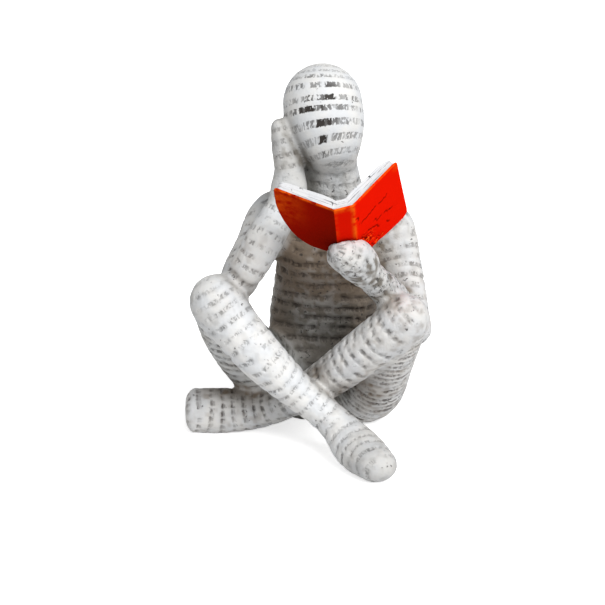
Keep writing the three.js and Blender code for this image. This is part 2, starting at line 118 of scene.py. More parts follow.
# The marks on each limb. In millimetres: the pitch of the rows, half the height of a mark, the depth of the
# groove along a row and of the marks in it, the length of a word and the roughness of the surface; then the
# strokes in a centimetre. From 0 to 1: the share of a row that is marked, how dark the marks are, how far
# they run together into a line, how much dark wash and painted shade lies on the surface, and how brown it
# is. The torso's is mostly painted shade on its front; its back keeps less of it.
PRINT_COLUMNS = (
    "pitch", "half", "groove", "mark", "word", "rough", "strokes", "marked", "ink", "line", "wash_and_shade", "brown",
)
PRINT_ROWS = {
    "torso": (5.0, 1.00, 0.18, 1.15, 5.5, 0.60, 8.0, 0.80, 1.00, 0.70, 0.62, 0.66),
    "head": (5.2, 1.15, 0.03, 0.16, 6.3, 0.03, 11.0, 0.86, 1.00, 0.00, 0.03, 0.20),
    "right_arm": (4.5, 0.75, 0.10, 0.45, 4.6, 0.20, 8.5, 0.74, 0.80, 0.25, 0.16, 0.50),
    "right_forearm": (4.6, 0.75, 0.08, 0.40, 4.0, 0.20, 8.5, 0.70, 0.80, 0.25, 0.14, 0.80),
    "right_hand": (4.6, 0.80, 0.06, 0.40, 4.0, 0.28, 8.5, 0.72, 0.85, 0.20, 0.24, 0.30),
    "left_arm": (4.5, 0.90, 0.22, 0.70, 4.8, 0.20, 9.0, 0.84, 0.90, 0.50, 0.18, 0.60),
    "left_forearm": (3.2, 0.60, 0.04, 0.30, 2.2, 1.15, 11.0, 0.50, 0.90, 0.25, 0.24, 0.30),
    "left_fist": (3.6, 0.70, 0.06, 0.55, 2.6, 0.60, 9.0, 0.60, 1.00, 0.45, 0.24, 0.35),
    "left_thumb": (3.6, 0.70, 0.06, 0.55, 2.6, 0.60, 9.0, 0.60, 1.00, 0.45, 0.24, 0.35),
    "right_thigh": (4.5, 0.90, 0.24, 0.65, 4.4, 0.30, 9.0, 0.82, 1.00, 0.55, 0.38, 0.20),
    "right_shin": (5.0, 0.75, 0.10, 1.05, 5.5, 0.16, 9.0, 0.90, 0.54, 0.00, 0.05, 0.20),
    "left_thigh": (2.9, 0.75, 0.40, 0.65, 5.0, 0.30, 10.0, 0.88, 1.00, 0.40, 0.20, 0.75),
    "left_shin": (4.8, 0.85, 0.04, 1.15, 3.4, 0.30, 8.0, 0.74, 0.85, 0.60, 0.16, 0.60),
}
PRINT = {name: dict(zip(PRINT_COLUMNS, row)) for name, row in PRINT_ROWS.items()}

# How rows run. Noise comes in layers of a share, a size in millimetres and a seed: ROW_WAVES bend the rows
# by a share of their pitch, and BARK is the surface of the rough limbs. Rows fade where they close into a
# point: on a limb between two shares of its radius, and on the head between two ways from its axis in
# millimetres. LIMBS_APART gives each limb its own stretch of the words' noise, in millimetres.
ROW_WAVES = ((0.7, 13.0, 5), (0.3, 5.0, 6))
BARK = ((0.6, 1.7, 11), (0.4, 3.4, 17))
LIMB_WAVINESS = 0.75
HEAD_WAVINESS = 0.10
LIMB_POLE = (0.28, 0.5)
HEAD_POLE = (3.0, 5.5)
TORSO_ROW_SLOPE = 0.06
LIMBS_APART = 211.0

# The marks in a row. In millimetres: the length of a tick and of a break in the groove, the soft edge of a
# word, how far beyond the row's middle its dents lie as a line, how much nearer than the next limb a point is
# where marks start and where they are whole, and how wide the passage between limbs is. GROOVE_REACH is in
# half heights of a mark. The rest are shares: where a groove and a tick start and are whole in their noise,
# a word's least length and what chance adds to it, how deep a word is without a tick and what a tick adds,
# and the least that is left where noise takes a word, a groove or its ink away.
TICK_LENGTH = 1.3
BREAK_LENGTH = 5.0
WORD_EDGE = 0.35
LINE_RISE = 0.3
SEAM = (0.1, 1.6)
PASSAGE = 2.0
GROOVE_REACH = 1.7
WORDS_LEFT_OUT = 0.08
GROOVE_START = (0.3, 0.7)
TICK_START = (0.3, 0.65)
WORD_LENGTHS = (0.75, 0.5)
TICK_DEPTHS = (0.25, 0.95)
FAINTEST_WORD = 0.48
FAINTEST_GROOVE = 0.15
FAINTEST_INK = 0.65
# The dark wash and painted shade that a groove gathers, for the limb's wash and for the groove's depth, and
# the groove that gathers none; then the wash in the bark's hollows and where in its noise they start and are
# whole.
GROOVE_WASH_AND_SHADE = (0.3, 0.5)
UNDARKENED_GROOVE = 0.3
BARK_WASH = 1.1
BARK_START = (0.5, 0.78)

# The head's rows: where each crosses the middle of the face, as a height measured along the tilted axis of
# the rows, and how much the row climbs towards her left.
HEAD_AXIS_TILT = math.radians(26)
HEAD_ROWS = [
    (146.3, 0.0), (143.8, 0.0), (141.3, 0.0), (138.8, 0.0), (136.5, 0.0), (132.6, 0.02), (127.0, 0.05),
    (123.6, 0.07), (117.7, 0.13), (111.7, 0.2), (106.4, 0.2), (102.3, 0.2), (98.7, 0.2), (95.5, 0.2),
    (91.5, 0.2), (87.3, 0.2), (83.0, 0.2), (78.5, 0.2),
]
HEAD_MIDDLE = (4.8, 16.3, 134.7)
HEAD_RADIUS = 14.0
FACE_MIDDLE = 4.6

# Where the paint differs from the rule of its limb. A region is the product of smooth steps, each along an
# axis from one place to another, in millimetres. It takes a share of a value away, adds to it, or fills it
# up towards 1.
FRONT = (("y", 0, 6), ("y", 26, 18))
REGIONS = {
    "neck": (("z", 84, 98), ("z", 116, 110)),
    "back": (("y", 22, 34), ("z", 8, 20)),
    "flank": (("x", 15, 21), ("x", 30, 26), ("z", 34, 46), ("z", 66, 56), ("y", 5, 12)),
    "cheek": (("x", 3, -8), ("z", 98, 106), ("z", 140, 124), ("y", 30, 16)),
    "chest": (("x", -16, -8), ("x", 27, 20), ("z", 50, 62), ("z", 98, 86), *FRONT),
    "inner_arm": (("x", -21, -13), ("x", -4, -9), ("z", 58, 68), ("z", 92, 80), *FRONT),
    "lap": (("x", -24, -16), ("x", 22, 14), ("z", 58, 40), *FRONT),
    "toes": (("x", 8, 16), ("y", -8, -18), ("z", 22, 14)),
    "left_foot": (("x", -12, -26), ("z", 22, 18), ("y", -10, 0)),
    "head": (("z", 104, 108),),
    "brow_side": (("y", 20, 8),),
    "face_side": (("y", 12, 0),),
}
# Painted shade, in the wash: darker in the hollows, on the torso's left flank behind the forearm, on the
# cheek by the hand and on the chest and the inner right arm, and less on the back. The toes are darker too,
# and the chest and the inner arm browner.
REGION_PAINT = (
    ("neck", "wash_and_shade", "take", 0.5), ("neck", "brown", "take", 0.7), ("neck", "depth", "take", 0.5),
    ("neck", "print", "take", 0.15), ("back", "wash_and_shade", "take", 0.6), ("hollow", "wash_and_shade", "add", 0.6),
    ("flank", "wash_and_shade", "add", 0.5), ("cheek", "wash_and_shade", "add", 0.20), ("browned", "wash_and_shade", "add", 0.22),
    ("browned", "brown", "fill", 0.6), ("lap", "brown", "take", 0.65), ("toes", "wash_and_shade", "add", 0.30),
    ("toes", "depth", "take", 0.45), ("pale_head", "print", "take", 1.0), ("left_foot", "line", "fill", 0.8),
    ("left_foot", "brown", "fill", 0.6),
)
# The marks are blackest on the brow: its middle and spread across and up, and the ink on the head, the brow
# and the face.
BROW_X, BROW_Z = 3, 134
BROW_WIDTH, BROW_HEIGHT = 14, 13
HEAD_INK, BROW_INK, FACE_INK = 0.36, 0.95, 0.22
# The painted shade in hollows, where the figure closes in round a point: how far out from the surface its
# hollows are felt, and how much each reach counts; how far round a limb its distance is worked out for that,
# a little more than the longest reach; and where hollows start and are whole.
HOLLOW_REACHES = ((4.0, 0.3), (10.0, 0.3), (24.0, 0.4))
HOLLOW_MARGIN = 25
HOLLOW_START = (0.05, 0.95)

# The open book, in its own frame: x across the spine, y out of its back, z up the spine.
BOOK_HEIGHT = 35.0
SPINE_WIDTH = 7.4
COVER_THICKNESS = 0.9
PAGE_BLOCK_THICKNESS = 3.8
PAGE_INSET = 0.5
GUTTER_WIDTH = 4.5
GUTTER_DIP = 0.4
COVER_CORNER = 2.0
RIGHT_COVER = {
    "width": 24, "flare": 0, "rise": 2.4, "foot": 4, "drop": 0, "round_along": 0.62, "round_up": 0.92,
}
LEFT_COVER = {
    "width": 26, "flare": 4.4, "rise": -1.8, "foot": -3.6, "drop": 4.4, "round_along": 0.09, "round_up": 0.07,
}
COVER_OPENING = math.radians(36.6)
BOOK_LEAN = math.radians(40)
BOOK_TURN = math.radians(14)
BOOK_ROLL = math.radians(4)
BOOK_SPINE_FOOT = (9.6, -12.3, 55.5)
BOOK_CLEARANCE = 0.2
FIST_BLOCK = 14.0
# The meshes of the boards and of the pages: their faces across, up and through, the share of the faces
# across that the spine has, the width of the open boards that measures their rim and their wear, the
# rounding of the rim, and the depth in the pages that their map counts as 1.
COVER_FACES = (190, 104, 4)
PAGE_FACES = (120, 40, 18)
SPINE_SHARE = 0.12
RIM_SPAN = 56
WEAR_SPAN = 57
RIM_ROUNDING = 0.45
LEAF_DEPTH = 4.0
HINGE_LENGTH = 1.5
# How deep the covers are worn, crumbled and cracked. The pages: how far they are sunk into the boards, how
# far out their swelling is measured, how many waves their edge has through the block, and how deep it is
# set back and how deep its waves are.
WEAR_DEPTH = 0.14
CRUMB_DEPTH = 0.60
CRACK_DEPTH = 0.26
PAGE_SINK = 0.05
PAGE_REACH = 25
LEAF_WAVES = 9
LEAF_SET_BACK = 0.22
LEAF_WAVE_DEPTH = 0.35
# The cracks on the left cover: their half width, and where each starts and ends, as the way out along the
# cover and the height.
CRACK_WIDTH = 0.36
CRACKS = [
    (3.6, 17.8, 19.0, 19.8), (8.4, 12.0, 21.4, 7.0), (7.0, 9.6, 19.4, 0.2), (0.9, 25.0, 4.2, 17.6),
]

# Colours that only fill in the materials: dirt in pits, aged marks, the crumbled and cracked red paint and
# the edges of the pages.
PIT_DARK = (0.05, 0.045, 0.04, 1)
PRINT_BROWN = (0.07, 0.045, 0.03, 1)
CRUMB_DARK = (0.12, 0.003, 0.001, 1)
CRUMB_BRIGHT = (0.92, 0.14, 0.012, 1)
CRACK_DARK = (0.10, 0.003, 0.001, 1)
PAGE_COOL = (0.60, 0.61, 0.63, 1)
PAGE_LINE = (0.20, 0.20, 0.21, 1)
PAGE_SPECK = (0.05, 0.05, 0.05, 1)

# The stage: the floor's grey and its glow towards the camera, the lamp, and where the photograph was taken
# from.
WHITE = (1, 1, 1, 1)
FLOOR_GREY = (0.85, 0.85, 0.85, 1)
FLOOR_GLOW = 0.68
CAMERA_PLACE = (-2.0226, -764.9938, 336.4138)
CAMERA_DOWN = math.radians(20)
CAMERA_LENS = 123.745
CAMERA_SENSOR = 36.0
CAMERA_NEAR = 0.05
CAMERA_FAR = 20.0
KEY_FROM = (0.42, -0.72, 0.85)
KEY_WIDTH = math.radians(35)


# Arrays


CORNERS = [(i, j, k) for i in (0, 1) for j in (0, 1) for k in (0, 1)]
# The whole numbers that mix bits in scatter.
MIX_START = np.uint32(2166136261)
MIX_STEP = np.uint32(16777619)
MIX_END = np.uint32(2246822519)
MIX_APART = 1013
LOW_BITS = np.uint32(0xFFFFFF)


def eased(t):
    """3t² - 2t³."""
    return t * t * (3 - 2 * t)


def smoothstep(low, high, value):
    """3t² - 2t³, with t running from 0 at low to 1 at high."""
    return eased(np.clip((value - low) / (high - low), 0, 1))


def at_least(low, share):
    """From low, where the share is 0, to 1, where it is 1, in a straight line."""
    return low + (1 - low) * share


def scatter(*whole):
    """A repeatable number from 0 to 1 for each set of whole numbers, by mixing their bits."""
    mixed = MIX_START
    for k, value in enumerate(whole):
        mixed = mixed ^ (np.asarray(value).astype(np.int64).astype(np.uint32) + np.uint32(MIX_APART * k))
        mixed = mixed * MIX_STEP
        mixed = mixed ^ (mixed >> np.uint32(15))
    mixed = mixed * MIX_END
    mixed = mixed ^ (mixed >> np.uint32(13))
    return (mixed & LOW_BITS) / float(LOW_BITS)


def line_noise(x, seed):
    """Value noise along a line: smooth between random numbers at whole x, one line of them for each
    seed."""
    cell = np.floor(x)
    t = eased(x - cell)
    return scatter(cell, seed) * (1 - t) + scatter(cell + 1, seed) * t


def space_noise(points, size, seed):
    """Value noise in space: smooth between random numbers at the corners of cells of the given size."""
    scaled = points / size
    cell = np.floor(scaled)
    t = eased(scaled - cell)
    total = 0
    for corner in CORNERS:
        weight = np.prod(np.where(corner, t, 1 - t), axis=1)
        total = total + weight * scatter(*(cell + corner).T, seed)
    return total


def layered_noise(points, layers):
    """The sum of share·noise over layers of a share, a size and a seed."""
    return sum(share * space_noise(points, size, seed) for share, size, seed in layers)


# The figure's form


def limb_path(flat, rows):
    """A limb's balls close together: a Catmull-Rom path through the rows. Each ball has its middle, radius,
    squash = 1/flatness² - 1 and scale = (1 + flatness)/2, and the path its length so far, direction and a
    side."""
    rows = np.array(rows, float)
    knots = np.vstack([2 * rows[0] - rows[1], rows, 2 * rows[-1] - rows[-2]])
    stretches = []
    for before, start, end, after in zip(knots, knots[1:], knots[2:], knots[3:]):
        steps = max(2, math.ceil(np.linalg.norm(end[:3] - start[:3]) / BALL_SPACING))
        t = (np.arange(steps) / steps)[:, None]
        stretches.append(
            start
            + 0.5 * t * (end - before)
            + 0.5 * t**2 * (2 * before - 5 * start + 4 * end - after)
            + 0.5 * t**3 * (after - before + 3 * (start - end))
        )
    balls = np.vstack(stretches + [rows[-1:]])
    middle = balls[:, :3] * SHARE
    along = np.gradient(middle, axis=0)
    along /= np.linalg.norm(along, axis=1, keepdims=True)
    length = np.concatenate([[0], np.cumsum(np.linalg.norm(np.diff(middle, axis=0), axis=1))])
    away = np.array([0.2, 1.0, 0.1])
    side = away - (along @ away)[:, None] * along
    side /= np.linalg.norm(side, axis=1, keepdims=True)
    return {
        "axis": np.array(flat, float) / np.linalg.norm(flat),
        "middle": middle,
        "radius": balls[:, 3] * SHARE,
        "squash": 1 / balls[:, 4] ** 2 - 1,
        "scale": (1 + balls[:, 4]) / 2,
        "along": along,
        "length": length,
        "side": side,
    }


PATHS = {name: limb_path(flat, rows) for name, (flat, rows) in LIMBS.items()}
LIMB_NAMES = list(PATHS)
# A far distance, how far beyond a limb's box points still count, and how many points are worked out at
# once.
FAR = 50.0
BOX_MARGIN = 12
CHUNK = 40000


def on_path(limb, key, nearest):
    """A value of the limb's path at places between its balls, in a straight line from ball to ball."""
    values = limb[key]
    low = np.clip(np.floor(nearest).astype(int), 0, len(values) - 2)
    t = nearest - low
    if values.ndim > 1:
        t = t[:, None]
    return values[low] * (1 - t) + values[low + 1] * t


def limb_distance(limb, points, margin=BOX_MARGIN):
    """Distance to a limb, its slope and the nearest place on its path, counted in balls: the least over the
    path of (√(|d|² + squash·(d·axis)²) - radius)·scale, with d the way from the ball's middle. Between the
    balls it is the low point of the parabola through the three nearest. Points that are further than the
    margin from the limb's box get a far distance."""
    distance = np.full(len(points), FAR)
    slope = np.zeros((len(points), 3))
    nearest = np.ones(len(points))
    low = (limb["middle"] - limb["radius"][:, None]).min(0) - margin
    high = (limb["middle"] + limb["radius"][:, None]).max(0) + margin
    close = np.flatnonzero(np.all((points > low) & (points < high), axis=1))
    middle, axis = limb["middle"], limb["axis"]
    for some in np.array_split(close, max(1, len(close) // CHUNK)):
        p = points[some]
        square = (p**2).sum(1)[:, None] - 2 * p @ middle.T + (middle**2).sum(1)
        across = (p @ axis)[:, None] - middle @ axis
        reach = np.sqrt(np.maximum(square + limb["squash"] * across**2, 1e-9))
        value = (reach - limb["radius"]) * limb["scale"]
        k = np.clip(value.argmin(1), 1, len(middle) - 2)
        row = np.arange(len(some))
        before, here, after = (value[row, k + step] for step in (-1, 0, 1))
        bend = before - 2 * here + after
        t = np.where(bend > 1e-6, (before - after) / np.maximum(2 * bend, 1e-6), np.sign(before - after))
        t = np.clip(t, -1, 1)
        shares = (t * (t - 1) / 2, 1 - t**2, t * (t + 1) / 2)
        distance[some] = before * shares[0] + here * shares[1] + after * shares[2]
        total = 0
        for step, share in zip((-1, 0, 1), shares):
            ball = k + step
            bent = p - middle[ball] + (limb["squash"][ball] * across[row, ball])[:, None] * axis
            total = total + bent * (share * limb["scale"][ball] / reach[row, ball])[:, None]
        slope[some] = total
        nearest[some] = k + t
    return distance, slope, nearest


def blend(a, b, width):
    """The lesser of two distances with a fillet: min(a, b) - n²/4w with n = max(w - |a - b|, 0). Slopes mix
    by k = n/2w."""
    w = width * SHARE
    (da, ga), (db, gb) = a, b
    near = np.maximum(w - np.abs(da - db), 0)
    k = (near / (2 * w))[:, None]
    first = (da < db)[:, None]
    slope = np.where(first, ga, gb) * (1 - k) + np.where(first, gb, ga) * k
    return np.minimum(da, db) - near**2 / (4 * w), slope


def figure_distance(points, margin=BOX_MARGIN):
    """Distance to the whole figure and its slope, negative inside: the limbs blended in the order in which
    they run into each other, less the room of the book in the fist."""
    d = {name: limb_distance(PATHS[name], points, margin)[:2] for name in LIMB_NAMES}
    size = BLENDS
    balls = []
    for ball in BUST:
        away = points - np.array(ball[:3]) * SHARE
        reach = np.linalg.norm(away, axis=1)
        balls.append((reach - ball[3] * SHARE, away / reach[:, None]))
    first = balls[0][0] < balls[1][0]
    bust = (np.minimum(balls[0][0], balls[1][0]), np.where(first[:, None], balls[0][1], balls[1][1]))
    torso = blend(d["torso"], bust, size["bust"])
    toe = (points[:, 0] - TOE_END * SHARE, np.tile([1.0, 0, 0], (len(points), 1)))
    inner = blend((-d["left_shin"][0], -d["left_shin"][1]), toe, size["toe"])
    left_foot = (-inner[0], -inner[1])
    right_arm = blend(d["right_arm"], d["right_forearm"], size["elbow"])
    right_arm = blend(right_arm, d["right_hand"], size["wrist"])
    left_hand = blend(d["left_fist"], d["left_thumb"], size["touch"])
    left_arm = blend(d["left_arm"], d["left_forearm"], size["elbow"])
    left_arm = blend(left_arm, left_hand, size["wrist"])
    arms = blend(right_arm, left_arm, size["touch"])
    legs = blend(
        blend(d["right_thigh"], d["right_shin"], size["knee"]),
        blend(d["left_thigh"], left_foot, size["knee"]),
        size["touch"],
    )
    upper = blend(blend(torso, d["head"], size["neck"]), d["right_arm"], size["shoulder"])
    upper = blend(upper, d["left_arm"], size["shoulder"])
    hips = blend(blend(torso, d["right_thigh"], size["hip"]), d["left_thigh"], size["hip"])
    higher = (upper[0] < hips[0])[:, None]
    body = (np.minimum(upper[0], hips[0]), np.where(higher, upper[1], hips[1]))
    distance, slope = blend(blend(body, legs, size["touch"]), arms, size["touch"])
    room, room_slope = book_room(points)
    cut = -room > distance
    return np.where(cut, -room, distance), np.where(cut[:, None], -room_slope, slope)


def book_room(points):
    """Distance to the space that the book and its reader's side take in the fist, and its slope: the
    greatest of the distances to the planes of the spine, of both covers, of the covers' lower edges and of
    a block round the fist."""
    local = to_book(points)
    x, y, z = local.T
    right = x > 0
    side = np.where(right, 1.0, -1.0)
    flat = np.zeros(len(x))
    one = np.ones(len(x))
    sine, cosine = math.sin(COVER_OPENING), math.cos(COVER_OPENING)
    left_foot = LEFT_COVER["foot"] + LEFT_COVER["drop"] * x / LEFT_COVER["width"]
    foot = np.where(right, RIGHT_COVER["foot"], left_foot)
    foot = foot * smoothstep(SPINE_WIDTH / 2 - 1, SPINE_WIDTH / 2, np.abs(x))
    planes = [
        (y, (flat, one, flat)),
        ((side * x - SPINE_WIDTH / 2) * sine + y * cosine, (side * sine, one * cosine, flat)),
        (foot - z, (flat, flat, -one)),
        (-y - FIST_BLOCK, (flat, -one, flat)),
        (z - FIST_BLOCK, (flat, flat, one)),
        (side * x - FIST_BLOCK, (side, flat, flat)),
    ]
    values = np.stack([value for value, _ in planes])
    most = values.argmax(0)
    slopes = np.stack([np.stack(normal, 1) for _, normal in planes])
    pick = np.arange(len(x))
    return values[most, pick] - BOOK_CLEARANCE, slopes[most, pick] @ book_matrix().T


# Cells from one coarse point to the next, the band round the surface in coarse steps, and the cells that
# the grid has beyond the limbs.
COARSE = 4
BAND = 1.3
GRID_MARGIN = 3


def grid_values(cell):
    """(low, value): the low corner of a grid of cells round the figure, and the figure's distance at its
    points. Every fourth point each way tells how far the points round it are, and only those near the
    surface are worked out one by one."""
    limbs = [(path["middle"], path["radius"][:, None]) for path in PATHS.values()]
    spare = GRID_MARGIN * cell
    low = np.min([(middle - radius).min(0) for middle, radius in limbs], axis=0) - spare
    high = np.max([(middle + radius).max(0) for middle, radius in limbs], axis=0) + spare
    wide = COARSE * cell
    blocks = np.ceil((high - low) / wide).astype(int) + 1
    shape = blocks * COARSE + 1
    axes = [low[n] + wide * np.arange(blocks[n] + 1) for n in range(3)]
    value = figure_distance(np.stack(np.meshgrid(*axes, indexing="ij"), -1).reshape(-1, 3))[0]
    value = value.reshape(blocks + 1)
    for axis in range(3):
        value = np.repeat(value, COARSE, axis)
    value = value[: shape[0], : shape[1], : shape[2]]
    value = np.roll(value, (-(COARSE // 2),) * 3, (0, 1, 2)).copy()
    band = np.argwhere(np.abs(value) < BAND * wide)
    value[tuple(band.T)] = figure_distance(low + band * cell)[0]
    return low, value


def net_points(value, low, cell):
    """(points, number): one point in each grid cell that the surface crosses, at the mean of its crossed
    edges, and for each cell the number of its point, or -1."""
    inside = value < 0
    shape = np.array(value.shape) - 1
    count = np.zeros(shape, int)
    for i, j, k in CORNERS:
        count += inside[i : shape[0] + i, j : shape[1] + j, k : shape[2] + k]
    cells = np.argwhere((count > 0) & (count < len(CORNERS)))
    number = np.full(shape, -1)
    number[tuple(cells.T)] = np.arange(len(cells))
    total = np.zeros((len(cells), 3))
    crossed = np.zeros(len(cells))
    for corner in np.array(CORNERS):
        for step in np.eye(3, dtype=int)[corner == 0]:
            first = value[tuple((cells + corner).T)]
            second = value[tuple((cells + corner + step).T)]
            cut = (first < 0) != (second < 0)
            t = np.where(cut, first / np.where(cut, first - second, 1), 0)
            total += np.where(cut[:, None], cells + corner + t[:, None] * step, 0)
            crossed += cut
    return low + total / crossed[:, None] * cell, number


def net_quads(inside, number):
    """One quad round each grid edge that the surface crosses, through the points of the four cells at that
    edge, facing out."""
    quads = []
    for axis in range(3):
        edge = inside != np.roll(inside, -1, axis)
        for n in range(3):
            ends = (-1,) if n == axis else (0, -1)
            for end in ends:
                np.moveaxis(edge, n, 0)[end] = False
        at = np.argwhere(edge)
        outward = inside[tuple(at.T)]
        around = []
        for du, dv in ((-1, -1), (0, -1), (0, 0), (-1, 0)):
            shifted = at.copy()
            shifted[:, (axis + 1) % 3] += du
            shifted[:, (axis + 2) % 3] += dv
            around.append(number[tuple(shifted.T)])
        ring = np.stack(around, 1)
        quads.append(np.where(outward[:, None], ring, ring[:, ::-1]))
    quads = np.vstack(quads)
    return quads[(quads >= 0).all(1)]


def surface_points(cell):
    """The figure's surface as points and quads, by surface nets on a grid of the given cell."""
    low, value = grid_values(cell)
    points, number = net_points(value, low, cell)
    return points, net_quads(value < 0, number)


# The longest move onto the surface, in cells, and the least squared slope that it is trusted at.
LONGEST_MOVE = 0.6
LEAST_SLOPE = 0.1


def even_out(points, quads, rounds, cell):
    """Each point moves halfway to the mean of its neighbours and then along the slope onto the surface:
    p - distance·slope/|slope|², if that is less than the longest move."""
    a = np.concatenate([quads[:, n] for n in range(4)])
    b = np.concatenate([quads[:, (n + 1) % 4] for n in range(4)])
    degree = np.bincount(a, minlength=len(points))
    for _ in range(rounds):
        total = np.stack([np.bincount(a, points[b, n], len(points)) for n in range(3)], 1)
        points = (points + total / degree[:, None]) / 2
        distance, slope = figure_distance(points)
        steep = (slope**2).sum(1)
        move = -(distance / np.maximum(steep, LEAST_SLOPE))[:, None] * slope
        short = (np.linalg.norm(move, axis=1) < LONGEST_MOVE * cell) & (steep > LEAST_SLOPE)
        points = points + np.where(short[:, None], move, 0)
    return points


# The rows of marks


def head_rows(points):
    """(row, around, clear) on the head. Its rows lie where HEAD_ROWS has them along an axis that leans
    back, less their climb times the way from the middle of the face; around is the angle round that axis
    times the radius."""
    tilt = np.array([0, math.sin(HEAD_AXIS_TILT), math.cos(HEAD_AXIS_TILT)])
    away = points - HEAD_MIDDLE
    away = away - (away @ tilt)[:, None] * tilt
    clear = smoothstep(*HEAD_POLE, np.linalg.norm(away, axis=1))
    angle = np.arctan2(away[:, 0], -(away[:, 1] * tilt[2] - away[:, 2] * tilt[1]))
    heights, climbs = np.array(HEAD_ROWS[::-1]).T
    level = points @ tilt
    for _ in range(2):
        level = points @ tilt - np.interp(level, heights, climbs) * (points[:, 0] - FACE_MIDDLE)
    return -np.interp(level, heights, np.arange(len(heights))), angle * HEAD_RADIUS, clear


def limb_rows(name, points, nearest):
    """(row, around, clear) of points on a limb: row is the distance along the limb's path in row pitches,
    and around is the angle round the path times its radius, in millimetres. The torso's rows are nearly
    level. Clear goes to 0 at the ends, where the rows close into a point."""
    if name == "head":
        row, around, clear = head_rows(points)
    else:
        limb = PATHS[name]
        away = points - on_path(limb, "middle", nearest)
        along = on_path(limb, "along", nearest)
        ahead = (away * along).sum(1)
        side = on_path(limb, "side", nearest)
        other = np.cross(along, side)
        around = np.arctan2((away * other).sum(1), -(away * side).sum(1)) * np.median(limb["radius"])
        reach = np.linalg.norm(away - ahead[:, None] * along, axis=1)
        clear = smoothstep(*LIMB_POLE, reach / on_path(limb, "radius", nearest))
        level = on_path(limb, "length", nearest) + ahead
        if name == "torso":
            level = points[:, 2] + TORSO_ROW_SLOPE * points[:, 0]
        row = level / PRINT[name]["pitch"]
    wave = layered_noise(points, ROW_WAVES) - 0.5
    row = row + wave * (HEAD_WAVINESS if name == "head" else LIMB_WAVINESS)
    return row, around + LIMBS_APART * LIMB_NAMES.index(name), clear


def limb_marks(name, points, nearest, apart):
    """(depth, print, wash and painted shade) that the rows of one limb add. A row's middle is where row is
    whole, and g = (row - middle)·pitch is the way from it. A word takes a share of each word length along the
    row, and ticks break it up: depth = groove·low·exp(-(g/1.7h)²) + mark·word·tick·exp(-(g/h)²), with h half
    a mark's height. The grooves are darkened with wash and painted shade."""
    style = PRINT[name]
    index = LIMB_NAMES.index(name)
    row, around, clear = limb_rows(name, points, nearest)
    clear = clear * apart
    middle = np.round(row)
    g = (row - middle) * style["pitch"] - LINE_RISE * style["line"]
    space = around / style["word"] + scatter(middle, index, 7)
    cell = np.floor(space)
    least, more = WORD_LENGTHS
    reach = 0.5 * style["marked"] * (least + more * scatter(cell, middle, index + 20))
    edge = WORD_EDGE / style["word"]
    word = smoothstep(reach + edge, reach - edge, np.abs(space - cell - 0.5))
    if name != "head":
        word = word * (scatter(cell, middle, index + 40) > WORDS_LEFT_OUT)
    word = word * at_least(FAINTEST_WORD, scatter(cell, middle, index + 60))
    broken = smoothstep(*GROOVE_START, line_noise(around / BREAK_LENGTH, middle * 5 + 1))
    low = at_least(FAINTEST_GROOVE, broken) * np.exp(-((g / (GROOVE_REACH * style["half"])) ** 2))
    tick = smoothstep(*TICK_START, line_noise(around / TICK_LENGTH, middle * 9 + 2))
    plain, deeper = TICK_DEPTHS
    dent = word * (plain + deeper * tick) * np.exp(-((g / style["half"]) ** 2))
    depth = clear * (style["groove"] * low + style["mark"] * dent)
    ink = clear * word * at_least(FAINTEST_INK, tick) * style["ink"]
    groove_wash_and_shade = GROOVE_WASH_AND_SHADE[0] * style["wash_and_shade"] + GROOVE_WASH_AND_SHADE[1] * style["groove"]
    return depth, ink, clear * groove_wash_and_shade * (low - UNDARKENED_GROOVE)


def print_marks(points, distances, nearest):
    """How the marks shape and colour the surface at each point: what its own limb's rows add, and what
    isn't tied to a row, which passes smoothly from limb to limb. There each limb weighs exp(-(its distance
    - the least)/2)."""
    order = np.sort(distances, axis=1)
    label = distances.argmin(1)
    apart = smoothstep(*SEAM, order[:, 1] - order[:, 0])
    weight = np.exp(-(distances - order[:, :1]) / PASSAGE)
    weight /= weight.sum(1, keepdims=True)
    soft = {key: weight @ np.array([PRINT[name][key] for name in LIMB_NAMES]) for key in PRINT_COLUMNS}
    bark = layered_noise(points, BARK)
    depth = soft["rough"] * bark
    # The limb's wash, in part painted shade, and the wash in the bark's hollows.
    wash_and_shade = soft["wash_and_shade"] + BARK_WASH * soft["rough"] * smoothstep(*BARK_START, bark)
    ink = np.zeros(len(points))
    for index, name in enumerate(LIMB_NAMES):
        mine = np.flatnonzero(label == index)
        if len(mine):
            dent, ink[mine], groove_wash_and_shade = limb_marks(name, points[mine], nearest[mine, index], apart[mine])
            depth[mine] += dent
            wash_and_shade[mine] += groove_wash_and_shade
    return {
        "depth": depth, "print": ink, "wash_and_shade": wash_and_shade, "brown": soft["brown"], "line": soft["line"],
        "tall": soft["half"] / soft["pitch"], "rough": soft["rough"],
    }


def hollow_shade(points, slope):
    """0 to 1: how closed in a point is. The share by which the figure comes nearer than the reach, at
    several reaches straight out from the surface."""
    total = np.zeros(len(points))
    for reach, weight in HOLLOW_REACHES:
        near = figure_distance(points + slope * reach, HOLLOW_MARGIN)[0]
        total += weight * np.clip((reach - near) / reach, 0, 1)
    return total


def region_share(points, steps):
    """The product of smooth steps, each along an axis from one place to another."""
    share = 1.0
    for axis, start, end in steps:
        share = share * smoothstep(start, end, points[:, "xyz".index(axis)])
    return share


